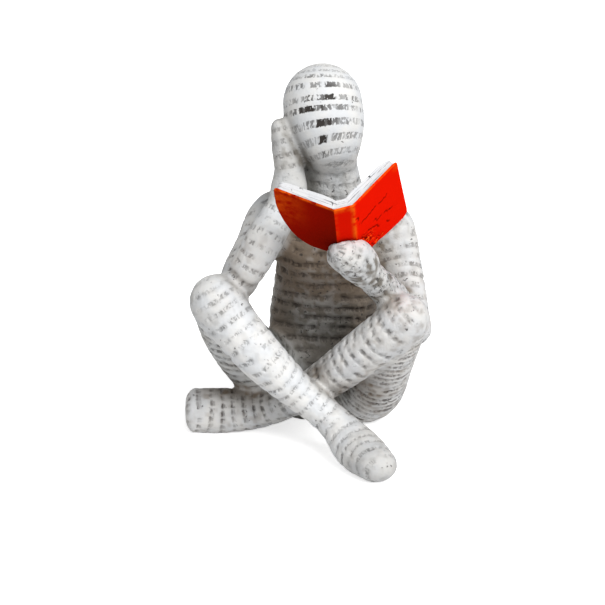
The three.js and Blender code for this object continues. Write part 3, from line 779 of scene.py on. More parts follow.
def shade_regions(points, slope, paint):
    """The paint with its regions: the marks are blackest on the brow and faint behind the head, long and
    brown on the left foot, and painted shade lies in the lap, in the creases and hollows, on the left flank,
    by the cheek and on the chest, less on the back, with the toes darker. A region of share s takes, adds or
    fills with the amount a: v·(1 - a·s), v + a·s or v + (1 - v)·a·s."""
    share = {name: region_share(points, steps) for name, steps in REGIONS.items()}
    share["browned"] = np.maximum(share["chest"], share["inner_arm"])
    share["hollow"] = smoothstep(*HOLLOW_START, hollow_shade(points, slope))
    x, _, z = points.T
    brow = np.exp(-(((x - BROW_X) / BROW_WIDTH) ** 2) - ((z - BROW_Z) / BROW_HEIGHT) ** 2)
    ink = HEAD_INK + BROW_INK * brow * share["brow_side"] + FACE_INK * share["face_side"]
    share["pale_head"] = (1 - ink) * share["head"]
    for name, key, change, amount in REGION_PAINT:
        part = amount * share[name]
        if change == "take":
            paint[key] = paint[key] * (1 - part)
        elif change == "add":
            paint[key] = paint[key] + part
        else:
            paint[key] = paint[key] + (1 - paint[key]) * part
    for key in ("wash_and_shade", "print"):
        paint[key] = np.clip(paint[key], 0, 1)
    return paint


# Meshes


def make_mesh(name, points, quads):
    """A smooth mesh object from points in millimetres and quads, with its place in its mesh."""
    mesh = bpy.data.meshes.new(name)
    mesh.vertices.add(len(points))
    mesh.vertices.foreach_set("co", (points * MM).astype(np.float32).ravel())
    mesh.loops.add(quads.size)
    mesh.loops.foreach_set("vertex_index", quads.astype(np.int32).ravel())
    mesh.polygons.add(len(quads))
    mesh.polygons.foreach_set("loop_start", (np.arange(len(quads)) * 4).astype(np.int32))
    mesh.polygons.foreach_set("use_smooth", np.ones(len(quads), bool))
    mesh.update(calc_edges=True)
    mesh.validate()
    piece = bpy.data.objects.new(name, mesh)
    bpy.context.scene.collection.objects.link(piece)
    return piece


def way_to(points, box):
    """The level way from the middle of the points' own box to the middle of a packed box, in
    millimetres."""
    middle = np.array((box[0] + box[1]) / 2) / MM
    return (middle - (points.min(0) + points.max(0)) / 2) * (1, 1, 0)


def point_value(piece, name, values):
    """One number at each point of the mesh, that a material reads by its name."""
    attribute = piece.data.attributes.new(name, "FLOAT", "POINT")
    attribute.data.foreach_set("value", values.astype(np.float32))


def row_map(piece, quads, points, distances, nearest):
    """The UV map "rows": u is the way round the limb, counted in strokes, and v the row. Each face takes
    the limb that its corners are nearest to, and where it crosses the seam of the angle its low corners go
    once more round."""
    label = distances[quads].sum(1).argmin(1)
    uv = np.zeros((len(quads), 4, 2))
    for index, name in enumerate(LIMB_NAMES):
        faces = np.flatnonzero(label == index)
        if not len(faces):
            continue
        corner = quads[faces]
        used, back = np.unique(corner, return_inverse=True)
        row, around, _ = limb_rows(name, points[used], nearest[used, index])
        back = back.reshape(corner.shape)
        turn = 2 * math.pi * (HEAD_RADIUS if name == "head" else np.median(PATHS[name]["radius"]))
        u = around[back]
        u = np.where(u.max(1, keepdims=True) - u > turn / 2, u + turn, u)
        uv[faces, :, 0] = u / CENTIMETRE * PRINT[name]["strokes"]
        uv[faces, :, 1] = row[back]
    layer = piece.data.uv_layers.new(name="rows")
    layer.data.foreach_set("uv", uv.astype(np.float32).ravel())


def leaf_map(piece, quads, local):
    """The UV map "leaves": u is the way across the book in centimetres, and v the depth in the page block,
    over LEAF_DEPTH. On a cover the depth is measured square to it, and on the spine straight in."""
    w, _, side = on_cover(local)
    flat = -local[:, 1]
    over = (local[:, 0] * side - SPINE_WIDTH / 2) * math.sin(COVER_OPENING)
    depth = np.where(w > 0, flat * math.cos(COVER_OPENING) - over, flat)
    uv = np.stack([local[:, 0] / CENTIMETRE, depth / LEAF_DEPTH], 1)
    layer = piece.data.uv_layers.new(name="leaves")
    layer.data.foreach_set("uv", uv[quads].astype(np.float32).ravel())


def shell(counts, place):
    """A closed shell: the outside of a block of counts cells, each lattice point put in its place by
    place(a, b, c), with a, b and c running from 0 to 1. It is turned so that its volume is positive."""
    axes = [np.arange(count + 1) for count in counts]
    flat = np.stack(np.meshgrid(*axes, indexing="ij"), -1).reshape(-1, 3)
    outer = ((flat == 0) | (flat == counts)).any(1)
    number = (np.cumsum(outer) - 1).reshape([count + 1 for count in counts])
    quads = []
    for axis in range(3):
        for end in (0, counts[axis]):
            sheet = np.take(number, end, axis)
            ring = np.stack([sheet[:-1, :-1], sheet[1:, :-1], sheet[1:, 1:], sheet[:-1, 1:]], -1)
            ring = ring.reshape(-1, 4)
            turned = (end == 0) != (axis == 1)
            quads.append(ring[:, ::-1] if turned else ring)
    a, b, c = (flat[outer] / np.array(counts)).T
    points = place(a, b, c)
    quads = np.vstack(quads)
    p0, p1, p2, p3 = (points[quads[:, n]] for n in range(4))
    volume = (p0 * np.cross(p1, p2)).sum() + (p0 * np.cross(p2, p3)).sum()
    return points, (quads if volume > 0 else quads[:, ::-1])


# The book's form


def book_matrix():
    """The turn of the book's frame: Rx(lean)·Ry(-roll)·Rz(turn + π)."""
    cl, sl = math.cos(BOOK_LEAN), math.sin(BOOK_LEAN)
    cr, sr = math.cos(-BOOK_ROLL), math.sin(-BOOK_ROLL)
    ct, st = math.cos(BOOK_TURN + math.pi), math.sin(BOOK_TURN + math.pi)
    lean = np.array([[1, 0, 0], [0, cl, -sl], [0, sl, cl]])
    roll = np.array([[cr, 0, sr], [0, 1, 0], [-sr, 0, cr]])
    turn = np.array([[ct, -st, 0], [st, ct, 0], [0, 0, 1]])
    return lean @ roll @ turn


def from_book(local):
    """Points of the book's frame in the figure's: turned, and moved to the foot of the spine."""
    return local @ book_matrix().T + np.array(BOOK_SPINE_FOOT) * SHARE


def to_book(points):
    """The figure's points in the book's frame."""
    return (points - np.array(BOOK_SPINE_FOOT) * SHARE) @ book_matrix()


def cover_edges(cover, out, inset):
    """The heights of a cover's lower and upper edge at a share `out` of the way from the spine, and how far
    out both are there. The edges are straight lines, with a quarter ellipse at the end of the lower one and
    a quarter circle at the end of the upper one."""
    top_end = cover["width"] - inset
    foot_end = top_end + cover["flare"]
    outer_foot = cover["foot"] + inset - cover["drop"]
    outer_top = BOOK_HEIGHT - inset + cover["rise"]
    along = cover["round_along"] * foot_end
    up = cover["round_up"] * (outer_top - COVER_CORNER - outer_foot)
    x_foot, x_top = out * foot_end, out * top_end
    past = np.clip((x_foot - (foot_end - along)) / along, 0, 1)
    low = cover["foot"] + inset - cover["drop"] * x_foot / cover["width"]
    low = np.where(past > 0, outer_foot + up * (1 - np.sqrt(1 - past**2)), low)
    past = np.clip((x_top - (top_end - COVER_CORNER)) / COVER_CORNER, 0, 1)
    high = BOOK_HEIGHT - inset + cover["rise"] * x_top / cover["width"]
    high = np.where(past > 0, outer_top - COVER_CORNER * (1 - np.sqrt(1 - past**2)), high)
    return low, high, x_foot, x_top


def board_place(a, b, inset):
    """(across, side, w, z) of the open boards: a runs from the left cover's outer edge over the spine to
    the right cover's, and b from the lower to the upper edge. Across goes from -1 to 1 over the spine, side
    is 1 on the right cover, w is the way out from the spine's edge, 0 on the spine, and z is the height."""
    half = SPINE_SHARE / 2
    side = np.where(a > 0.5, 1.0, -1.0)
    out = np.clip((np.abs(a - 0.5) - half) / (0.5 - half), 0, 1)
    across = np.clip((a - 0.5) / half, -1, 1)
    low_r, high_r, foot_r, top_r = cover_edges(RIGHT_COVER, out, inset)
    low_l, high_l, foot_l, top_l = cover_edges(LEFT_COVER, out, inset)
    right = side > 0
    low, high = np.where(right, low_r, low_l), np.where(right, high_r, high_l)
    mid = smoothstep(0, 0.06, out)
    low = low * mid + inset * (1 - mid)
    z = low + (high - low) * b
    w = np.where(right, foot_r + (top_r - foot_r) * b, foot_l + (top_l - foot_l) * b)
    return across, side, w, z


def fold_out(across, side, w, depth):
    """The boards' cross-section: the spine at y = 0 and each cover turned back from its edge by the
    opening. Depth is measured inwards: the two directions meet on the mitre, and just outside the spine the
    one turns smoothly into the other."""
    sine, cosine = math.sin(COVER_OPENING), math.cos(COVER_OPENING)
    mitre = math.tan(COVER_OPENING / 2)
    on_cover = w > 0
    edge = SPINE_WIDTH / 2
    x = np.where(on_cover, side * (edge + w * cosine - depth * sine), across * (edge - depth * mitre))
    y = np.where(on_cover, -w * sine - depth * cosine, -depth)
    hinge = smoothstep(0, 1, w / HINGE_LENGTH)
    x_start = side * (edge - depth * mitre)
    y_start = -depth
    x = np.where(on_cover, x_start * (1 - hinge) + x * hinge + side * w * cosine * (1 - hinge), x)
    y = np.where(on_cover, y_start * (1 - hinge) + y * hinge - w * sine * (1 - hinge), y)
    return x, y


def covers_mesh():
    """Both covers and the spine as one folded board, rounded at its rim: half thickness h·√(1 - (1 - e)²)
    with e the way from the rim in millimetres over the rounding, up to 1. The rows of faces are closer
    together at the lower and the upper edge."""

    def place(a, b, c):
        spread = 0.5 - 0.5 * np.cos(np.pi * b)
        b = 0.75 * spread + 0.25 * b
        across, side, w, z = board_place(a, b, 0.0)
        rim_out = (0.5 - np.abs(a - 0.5)) * RIM_SPAN
        rim_up = np.minimum(b, 1 - b) * BOOK_HEIGHT
        e = np.clip(np.minimum(rim_out, rim_up) / RIM_ROUNDING, 0, 1)
        round_off = np.sqrt(1 - (1 - e) ** 2)
        depth = COVER_THICKNESS * (0.5 + (c - 0.5) * round_off)
        face = np.stack([a * WEAR_SPAN, z, c], 1)
        worn = WEAR_DEPTH * space_noise(face, 5.0, 3)
        grit = smoothstep(0.3, 0.8, space_noise(face, 0.9, 8))
        crumbs = CRUMB_DEPTH * cover_crumbs(w, z, side) * grit
        dent = worn + crumbs + CRACK_DEPTH * cover_cracks(w, z, side)
        depth = depth + np.where(c < 0.2, dent * round_off, 0)
        x, y = fold_out(across, side, w, depth)
        return from_book(np.stack([x, y, z], 1))

    return shell(COVER_FACES, place)


def on_cover(local):
    """(w, z, side) of points in the book's frame: w is the way out along a cover from the spine's edge,
    negative on the spine, and side is 1 on the right cover."""
    x, y, z = local.T
    side = np.where(x > 0, 1.0, -1.0)
    w = (side * x - SPINE_WIDTH / 2) * math.cos(COVER_OPENING) - y * math.sin(COVER_OPENING)
    return w, z, side


def cover_cracks(w, z, side):
    """0 to 1: how near a point is to one of the thin wavy broken cracks on the left cover. On each, t is
    the way along it, and the point's way from the straight line, plus waves of t, is measured against its
    half width."""
    total = np.zeros(len(w))
    for n, (w0, z0, w1, z1) in enumerate(CRACKS):
        length = math.hypot(w1 - w0, z1 - z0)
        along = np.array([w1 - w0, z1 - z0]) / length
        t = (w - w0) * along[0] + (z - z0) * along[1]
        off = (z - z0) * along[0] - (w - w0) * along[1]
        off = off + 1.5 * (line_noise(t / 2.3, n) - 0.5) + 0.9 * (line_noise(t / 0.9, n + 9) - 0.5)
        broken = smoothstep(0.22, 0.40, line_noise(t / 1.9, n + 40))
        ends = smoothstep(-0.3, 0.5, t) * smoothstep(length + 0.3, length - 0.5, t)
        near = np.exp(-((off / CRACK_WIDTH) ** 2)) * ends
        total = np.maximum(total, near * broken)
    return np.where((side < 0) & (w > 0.2), total, 0)


def cover_crumbs(w, z, side):
    """0 to 1: the rough crumbled paint at the foot of the left cover, beside the spine and the fist."""
    patch = smoothstep(12.0, 6.0, w) * smoothstep(-1.5, 0.2, w) * smoothstep(13.0, 7.0, z + 0.25 * w)
    low_edge = 0.7 * smoothstep(4.0, 1.0, z + 0.28 * w)
    low_edge = low_edge * smoothstep(18.0, 12.0, w) * smoothstep(-0.5, 0.5, w)
    spine = 0.8 * smoothstep(7.5, 4.5, z) * smoothstep(0.5, -0.5, w)
    return np.where(side < 0, np.maximum.reduce([patch, low_edge, spine]), spine)


def cover_paint(w, z, side):
    """Values from 0 to 1 for the paint of the covers: "edge", painted highlight in orange along the hinges,
    the rims and the spine's ends, and a painted reflection on the right cover's upper corner; "dark", painted
    shade in brown over the right cover, which is in shade, most by the spine and the foot, and a little on
    the spine;
    "crack" and "crumb" from the relief."""
    right = (side > 0) & (w > 0)
    left = (side < 0) & (w > 0)
    out = np.clip(w / RIGHT_COVER["width"], 0, 1)
    # Painted highlights along the top rims, the left cover's hinge and outer rim and the spine's edges and
    # ends, and a painted reflection on the right cover's upper corner.
    top = smoothstep(1.2, 0.2, BOOK_HEIGHT + np.where(side > 0, 0.1, -0.07) * np.maximum(w, 0) - z)
    hinge = np.exp(-((w / 0.8) ** 2))
    corner = smoothstep(0.35, 1.0, out) * smoothstep(12, 30, z)
    edge = 0.55 * top + np.where(right, 0.42 * corner, 0)
    rim = smoothstep(0.8, 1.05, w / LEFT_COVER["width"]) * smoothstep(26, 32, z)
    edge = edge + np.where(left, 0.85 * hinge + 0.5 * rim, 0)
    spine_edge_highlight = np.where(side < 0, 0.85, 0.25)
    edge = edge + np.where(w <= 0, spine_edge_highlight * smoothstep(-1.4, 0, w) + 0.5 * smoothstep(31.5, 34, z), 0)
    # Painted shade over the right cover, darkest by the spine and at the foot, and a little on the spine.
    thick = 0.94 - 0.20 * out - 0.10 * smoothstep(6, 30, z)
    dark = np.where(right, thick, np.where(w <= 0, 0.16, 0.0))
    return {
        "edge": np.clip(edge, 0, 1), "dark": dark, "crack": cover_cracks(w, z, side),
        "crumb": cover_crumbs(w, z, side),
    }


def pages_mesh():
    """The page blocks as one folded block on the boards' inner side, set back from their edges. Its face
    swells a little towards the gutter and rolls over it in a round valley, and its edges are uneven like
    leaves."""

    def place(a, b, c):
        across, side, w, z = board_place(a, b, PAGE_INSET)
        out = w / PAGE_REACH
        swell = 1 + 0.10 * np.exp(-((out - 0.25) / 0.2) ** 2) - 0.34 * smoothstep(0.75, 1.02, out)
        thick = PAGE_BLOCK_THICKNESS * swell
        depth = COVER_THICKNESS - PAGE_SINK + thick * c
        x, y = fold_out(across, side, w, depth)
        valley = np.clip(1 - np.abs(x) / GUTTER_WIDTH, 0, 1)
        y = y + c * GUTTER_DIP * eased(valley)
        leaf = line_noise(c * LEAF_WAVES, 3) - 0.5
        rim = np.maximum(smoothstep(0.985, 1.0, b), smoothstep(0.015, 0.0, b))
        inward = np.where(b > 0.5, 1, -1) * np.sin(np.pi * c) ** 0.5
        z = z - rim * (LEAF_SET_BACK + LEAF_WAVE_DEPTH * leaf) * inward
        return from_book(np.stack([x, y, z], 1))

    return shell(PAGE_FACES, place)


# Materials


# Patterns of noise: their scale, detail and roughness, and where in the noise they start and are whole.
# Strokes are on the map "rows", leaves on the map "leaves", and the rest on Object coordinates in metres.
PATTERNS = {
    "patches": (120.0, 3.0, 0.55, 0.35, 0.65),
    "strokes": (1.0, 1.0, 0.6, 0.48, 0.56),
    "pits": (520.0, 2.0, 0.7, 0.70, 0.78),
    "streaks": (260.0, 3.0, 0.6, 0.30, 0.62),
    "leaves": (1.0, 2.0, 0.6, 0.54, 0.64),
    "specks": (420.0, 1.0, 0.5, 0.70, 0.76),
    "crumbs": (900.0, 2.0, 0.6, 0.51, 0.58),
    "gaps": (900.0, 2.0, 0.6, 0.42, 0.34),
}
GRAIN = (3.0, 0.6)
GRAIN_SIZE = 900.0
BOOK_GRAIN_SIZE = 700.0
# How much the strokes spread where the ink is strong, and the pits where the surface is rough.
STROKE_SPREAD = 0.14
PIT_SPREAD = 0.13
# The marks, in row pitches from the middle of their row: how fast strokes change over their height, which
# row the noise starts from, how ragged and how soft their ends are, how much a line of dashes takes from
# them, and where that line lies as a share of their height, how much nearer the middle it is where it is
# strong, and its soft edge.
STROKE_CHANGE = 2.4
ROW_SEED = 7.31
RAGGEDNESS = 0.22
RAGGED = (0.8, 2.0, 0.6)
MARK_EDGE = (0.05, -0.03)
LINE_TAKES = 0.55
LINE_PLACE = 0.8
LINE_SHIFT = 0.05
LINE_EDGE = (0.15, 0.05)
# How dark pits are, how brown old marks get, how deep marks and pits are pressed in, and how coarse the
# grain is for a rough surface and for a smooth one.
PIT_SHARE = 0.8
OLD_MARK_SHARE = 0.6
PRESSED = -0.6
ROUGH_GRAIN = 1.2
SMOOTH_GRAIN = 0.25
# The leaves' lines are stretched along and packed into the depth of the pages, and stop at the open face.
LEAF_STRETCH = (1.1, 9.0)
LEAF_END = (0.98, 0.90)


def fill(tree, socket, value):
    """Links a socket to another one, or gives it a value."""
    if isinstance(value, bpy.types.NodeSocket):
        tree.links.new(value, socket)
    else:
        socket.default_value = value


def new_group(name, inputs, outputs):
    """A shader node group with number sockets and nothing between them: inputs by name and default, and
    outputs by name."""
    group = bpy.data.node_groups.new(name, "ShaderNodeTree")
    for label, default in inputs.items():
        socket = group.interface.new_socket(label, in_out="INPUT", socket_type="NodeSocketFloat")
        socket.default_value = default
    for label in outputs:
        group.interface.new_socket(label, in_out="OUTPUT", socket_type="NodeSocketFloat")
    start = group.nodes.new("NodeGroupInput")
    end = group.nodes.new("NodeGroupOutput")
    return group, start, end


def add(tree, kind, settings=None, **inputs):
    """A node with its properties set and its inputs filled. An input goes by its name, with _ for a space,
    or by i and its number."""
    node = tree.nodes.new(kind)
    for key, value in (settings or {}).items():
        setattr(node, key, value)
    for key, value in inputs.items():
        numbered = key[0] == "i" and key[1:].isdigit()
        fill(tree, node.inputs[int(key[1:]) if numbered else key.replace("_", " ")], value)
    return node


def math_node(tree, operation, *values, clamp=False):
    """The result of a Math node."""
    inputs = {f"i{n}": value for n, value in enumerate(values)}
    return add(tree, "ShaderNodeMath", {"operation": operation, "use_clamp": clamp}, **inputs).outputs[0]


def ramp(tree, factor, low, high, out_low=0.0, out_high=1.0):
    """A smooth step of a value between two limits."""
    return add(
        tree, "ShaderNodeMapRange", {"interpolation_type": "SMOOTHSTEP"},
        Value=factor, From_Min=low, From_Max=high, To_Min=out_low, To_Max=out_high,
    ).outputs[0]


def mix_colour(tree, factor, first, second):
    """The result of a Mix Color node."""
    return add(tree, "ShaderNodeMix", {"data_type": "RGBA"}, i0=factor, i6=first, i7=second).outputs[2]


def noise(tree, vector, scale, detail, rough):
    """A noise value at a place."""
    node = add(tree, "ShaderNodeTexNoise", Vector=vector, Scale=scale, Detail=detail, Roughness=rough)
    return node.outputs["Fac"]


def pattern(tree, place, name, spread=0.0):
    """A mask from 0 to 1: one of the patterns of noise at a place, spread by a value that is added to it."""
    scale, detail, rough, low, high = PATTERNS[name]
    value = math_node(tree, "ADD", noise(tree, place, scale, detail, rough), spread)
    return ramp(tree, value, low, high)


def painted(tree, name):
    """A value that the mesh's points carry, by its name."""
    return add(tree, "ShaderNodeAttribute", {"attribute_name": name}).outputs["Fac"]


def object_place(tree):
    """Object coordinates, in metres."""
    return tree.nodes.new("ShaderNodeTexCoord").outputs["Object"]


def map_parts(tree, name):
    """The u and v of one of the mesh's own UV maps."""
    place = add(tree, "ShaderNodeUVMap", {"uv_map": name}).outputs[0]
    return add(tree, "ShaderNodeSeparateXYZ", Vector=place).outputs[:2]


def shared(tree, name, maker, **inputs):
    """A node that holds a shared group, which its maker makes at its first use."""
    group = bpy.data.node_groups.get(name) or maker(name)
    return add(tree, "ShaderNodeGroup", {"node_tree": group}, **inputs)


def casting_grain_group(name):
    """Fine unevenness of a cast and painted surface: a height and a patchy mask on Object coordinates."""
    group, start, end = new_group(name, {"Grain size": GRAIN_SIZE}, ("Height", "Patches"))
    place = object_place(group)
    fill(group, end.inputs[0], noise(group, place, start.outputs[0], *GRAIN))
    fill(group, end.inputs[1], pattern(group, place, "patches"))
    return group


def printed_marks_group(name):
    """The marks of a row, from the map "rows" and the values "print", "line" and "tall". Upright strokes
    are noise along the row, cut off at the mark's height; a line of broken dashes runs along the row's
    upper edge. Gives the mask of both."""
    group, start, end = new_group(name, {"Raggedness": RAGGEDNESS}, ("Marks",))
    around, row = map_parts(group, "rows")
    ink, line, tall = (painted(group, value) for value in ("print", "line", "tall"))
    middle = math_node(group, "ROUND", row)
    off = math_node(group, "SUBTRACT", row, middle)
    seed = math_node(group, "MULTIPLY", middle, ROW_SEED)
    upright = math_node(group, "MULTIPLY_ADD", off, STROKE_CHANGE, seed)
    place = add(group, "ShaderNodeCombineXYZ", X=around, Y=upright).outputs[0]
    spread = math_node(group, "MULTIPLY", math_node(group, "POWER", ink, 2.0), STROKE_SPREAD)
    strokes = pattern(group, place, "strokes", spread)
    ragged = math_node(group, "SUBTRACT", noise(group, place, *RAGGED), 0.5)
    ragged = math_node(group, "MULTIPLY", ragged, start.outputs[0])
    height = math_node(group, "SUBTRACT", math_node(group, "ABSOLUTE", off), tall)
    height = ramp(group, math_node(group, "ADD", height, ragged), *MARK_EDGE)
    strokes = math_node(group, "MULTIPLY", strokes, height)
    left = math_node(group, "MULTIPLY_ADD", line, -LINE_TAKES, 1.0)
    strokes = math_node(group, "MULTIPLY", strokes, left)
    rise = math_node(group, "MULTIPLY_ADD", line, LINE_SHIFT, math_node(group, "ADD", off, ragged))
    dash = math_node(group, "SUBTRACT", rise, math_node(group, "MULTIPLY", tall, LINE_PLACE))
    dash = ramp(group, math_node(group, "ABSOLUTE", dash), *LINE_EDGE)
    dash = math_node(group, "MULTIPLY", dash, line)
    marks = math_node(group, "MAXIMUM", strokes, dash)
    fill(group, end.inputs[0], math_node(group, "MULTIPLY", marks, ink, clamp=True))
    return group


def surface_shader(name):
    """A new material with nothing but a Principled BSDF: the material, its tree and the shader."""
    material = bpy.data.materials.new(name)
    material.use_nodes = True
    tree = material.node_tree
    tree.nodes.clear()
    shader = tree.nodes.new("ShaderNodeBsdfPrincipled")
    end = tree.nodes.new("ShaderNodeOutputMaterial")
    tree.links.new(shader.outputs[0], end.inputs[0])
    return material, tree, shader


def coat(tree, shader, colour, roughness, specular):
    """Fills the shader's own sockets for a coat of paint."""
    fill(tree, shader.inputs["Base Color"], colour)
    fill(tree, shader.inputs["Roughness"], roughness)
    fill(tree, shader.inputs["Specular IOR Level"], specular)


def uneven(tree, shader, height, strength, distance):
    """A bump on the shader from a height, with the depth of its relief in metres."""
    bump = add(tree, "ShaderNodeBump", Strength=strength, Distance=distance, Height=height)
    tree.links.new(bump.outputs[0], shader.inputs["Normal"])


def printed_resin(look):
    """Off-white resin: black marks in their rows, a brown-grey wash that lies in the grooves, with painted
    shade in the grooves, the hollows, the creases and the lap, cool and warm patches, small dark pits and a
    matt casting grain."""
    material, tree, shader = surface_shader("printed_resin")
    grain = shared(tree, "Casting grain", casting_grain_group)
    marks = shared(tree, "Printed marks", printed_marks_group).outputs["Marks"]
    wash_and_shade, brown, rough = (painted(tree, name) for name in ("wash_and_shade", "brown", "rough"))
    wash_and_shade_colour = mix_colour(tree, brown, tuple(look.grey_wash_and_shade), tuple(look.brown_wash_and_shade))
    base = mix_colour(tree, grain.outputs["Patches"], tuple(look.resin), tuple(look.resin_cool))
    # The wash, with painted shade in the hollows, the creases and the lap.
    base = mix_colour(tree, wash_and_shade, base, wash_and_shade_colour)
    pits = pattern(tree, object_place(tree), "pits", math_node(tree, "MULTIPLY", rough, PIT_SPREAD))
    base = mix_colour(tree, math_node(tree, "MULTIPLY", pits, PIT_SHARE), base, PIT_DARK)
    browned = math_node(tree, "MULTIPLY", brown, OLD_MARK_SHARE)
    ink_colour = mix_colour(tree, browned, tuple(look.print_colour), PRINT_BROWN)
    coat(tree, shader, mix_colour(tree, marks, base, ink_colour), 0.62, 0.35)
    height = math_node(tree, "MULTIPLY", math_node(tree, "MAXIMUM", marks, pits), PRESSED)
    coarse = math_node(tree, "MULTIPLY_ADD", rough, ROUGH_GRAIN, SMOOTH_GRAIN)
    height = math_node(tree, "ADD", height, math_node(tree, "MULTIPLY", grain.outputs["Height"], coarse))
    uneven(tree, shader, height, 0.9, 0.6 * MM)
    return material


def red_paint(look):
    """Satin red paint: painted highlights in brighter orange along the hinges, the rims and the spine's ends,
    painted shade in darker brown red over the right cover, darker in the cracks, with dark and bright specks
    where it has crumbled."""
    material, tree, shader = surface_shader("red_paint")
    grain = shared(tree, "Casting grain", casting_grain_group, Grain_size=BOOK_GRAIN_SIZE)
    edge, dark, crack, crumb = (painted(tree, name) for name in ("edge", "dark", "crack", "crumb"))
    place = object_place(tree)
    # Painted shade on the right cover and the spine, then painted highlights along the edges.
    base = mix_colour(tree, dark, tuple(look.book_red), tuple(look.book_shade))
    painted_highlight = math_node(tree, "MULTIPLY", edge, pattern(tree, place, "streaks"), clamp=True)
    base = mix_colour(tree, painted_highlight, base, tuple(look.book_highlight))
    for name, colour in (("crumbs", CRUMB_DARK), ("gaps", CRUMB_BRIGHT)):
        spots = math_node(tree, "MULTIPLY", crumb, pattern(tree, place, name))
        base = mix_colour(tree, spots, base, colour)
    base = mix_colour(tree, crack, base, CRACK_DARK)
    coat(tree, shader, base, ramp(tree, grain.outputs["Patches"], 0.0, 1.0, 0.34, 0.5), 0.0)
    uneven(tree, shader, grain.outputs["Height"], 0.25, 0.4 * MM)
    return material


def page_paint(look):
    """Matt white page paint with thin grey lines along the leaves' edges, from the map "leaves", and a few
    dark specks. The open page faces lie at one depth, so the lines leave them white."""
    material, tree, shader = surface_shader("page_paint")
    grain = shared(tree, "Casting grain", casting_grain_group)
    across, deep = map_parts(tree, "leaves")
    x, y = (math_node(tree, "MULTIPLY", value, times) for value, times in zip((across, deep), LEAF_STRETCH))
    lines = pattern(tree, add(tree, "ShaderNodeCombineXYZ", X=x, Y=y).outputs[0], "leaves")
    lines = math_node(tree, "MULTIPLY", lines, ramp(tree, deep, *LEAF_END))
    base = mix_colour(tree, grain.outputs["Patches"], tuple(look.page_white), PAGE_COOL)
    base = mix_colour(tree, lines, base, PAGE_LINE)
    speck = pattern(tree, object_place(tree), "specks")
    coat(tree, shader, mix_colour(tree, speck, base, PAGE_SPECK), 0.7, 0.5)
    uneven(tree, shader, grain.outputs["Height"], 0.3, 0.3 * MM)
    return material


def floor_paper():
    """White paper that also glows towards the camera, so that the floor meets the background unseen."""
    material, tree, shader = surface_shader("floor_paper")
    coat(tree, shader, FLOOR_GREY, 0.95, 0.1)
    seen = tree.nodes.new("ShaderNodeLightPath").outputs["Is Camera Ray"]
    fill(tree, shader.inputs["Emission Color"], WHITE)
    fill(tree, shader.inputs["Emission Strength"], math_node(tree, "MULTIPLY", seen, FLOOR_GLOW))
    return material


# Settings


# What every colour setting has, the mesh size of a first look in metres, and how often the points are
# evened out.
COLOUR = {"subtype": "COLOR", "size": 4, "min": 0, "max": 1}
EVENING_ROUNDS = 4


class FigurineLook(bpy.types.PropertyGroup):
    """Colours that a user would change."""

    resin: bpy.props.FloatVectorProperty(
        name="Resin", description="Lit off-white of the figure",
        default=(0.72, 0.715, 0.70, 1), **COLOUR,
    )
    resin_cool: bpy.props.FloatVectorProperty(
        name="Cool resin", description="Cooler grey patches of the figure",
        default=(0.66, 0.675, 0.69, 1), **COLOUR,
    )
    print_colour: bpy.props.FloatVectorProperty(
        name="Marks", description="Colour of the printed marks",
        default=(0.022, 0.02, 0.018, 1), **COLOUR,
    )
    # Painted shade and wash: the grey that the lap, the creases and the hollows darken towards.
    grey_wash_and_shade: bpy.props.FloatVectorProperty(
        name="Grey wash", description="Wash in the lap and the creases",
        default=(0.17, 0.175, 0.165, 1), **COLOUR,
    )
    # Painted shade and wash: the brown that the chest, the inner arm and the feet darken towards.
    brown_wash_and_shade: bpy.props.FloatVectorProperty(
        name="Brown wash", description="Wash on the chest and the feet",
        default=(0.215, 0.157, 0.108, 1), **COLOUR,
    )
    book_red: bpy.props.FloatVectorProperty(
        name="Book red", description="Paint of the covers and the spine",
        default=(0.80, 0.008, 0.001, 1), **COLOUR,
    )
    # Painted shade: the dark brown red of the right cover, which lies in shade, and a little of the spine.
    book_shade: bpy.props.FloatVectorProperty(
        name="Book shade", description="Darker, thicker paint on the covers",
        default=(0.09, 0.004, 0.001, 1), **COLOUR,
    )
    # Painted highlight: the orange along the hinges, the rims and the spine's ends, and a painted reflection
    # on the right cover's upper corner.
    book_highlight: bpy.props.FloatVectorProperty(
        name="Book edge", description="Thin paint along the covers' edges",
        default=(0.84, 0.12, 0.006, 1), **COLOUR,
    )
    page_white: bpy.props.FloatVectorProperty(
        name="Pages", description="White of the page blocks",
        default=(0.66, 0.66, 0.665, 1), **COLOUR,
    )


class FigurineSizes(bpy.types.PropertyGroup):
    """Sizes that a user would change."""

    cell: bpy.props.FloatProperty(
        name="Mesh size", description="Width of the faces of the figure's surface", unit="LENGTH",
        default=0.00083, min=0.0005, max=0.004,
    )
    relief: bpy.props.FloatProperty(
        name="Relief", description="Depth of the rows and marks, as a factor", default=1.0, min=0, max=2,
    )
    stage_width: bpy.props.FloatProperty(
        name="Floor width", description="Width of the floor under the figure", unit="LENGTH",
        default=6.0, min=0.5,
    )
    key_strength: bpy.props.FloatProperty(
        name="Key light", description="Strength of the main lamp, in watts per square metre",
        default=3.25, min=0,
    )
    room_strength: bpy.props.FloatProperty(
        name="Room light", description="Strength of the white light from all round", default=0.38, min=0,
    )


# Operators and the panel


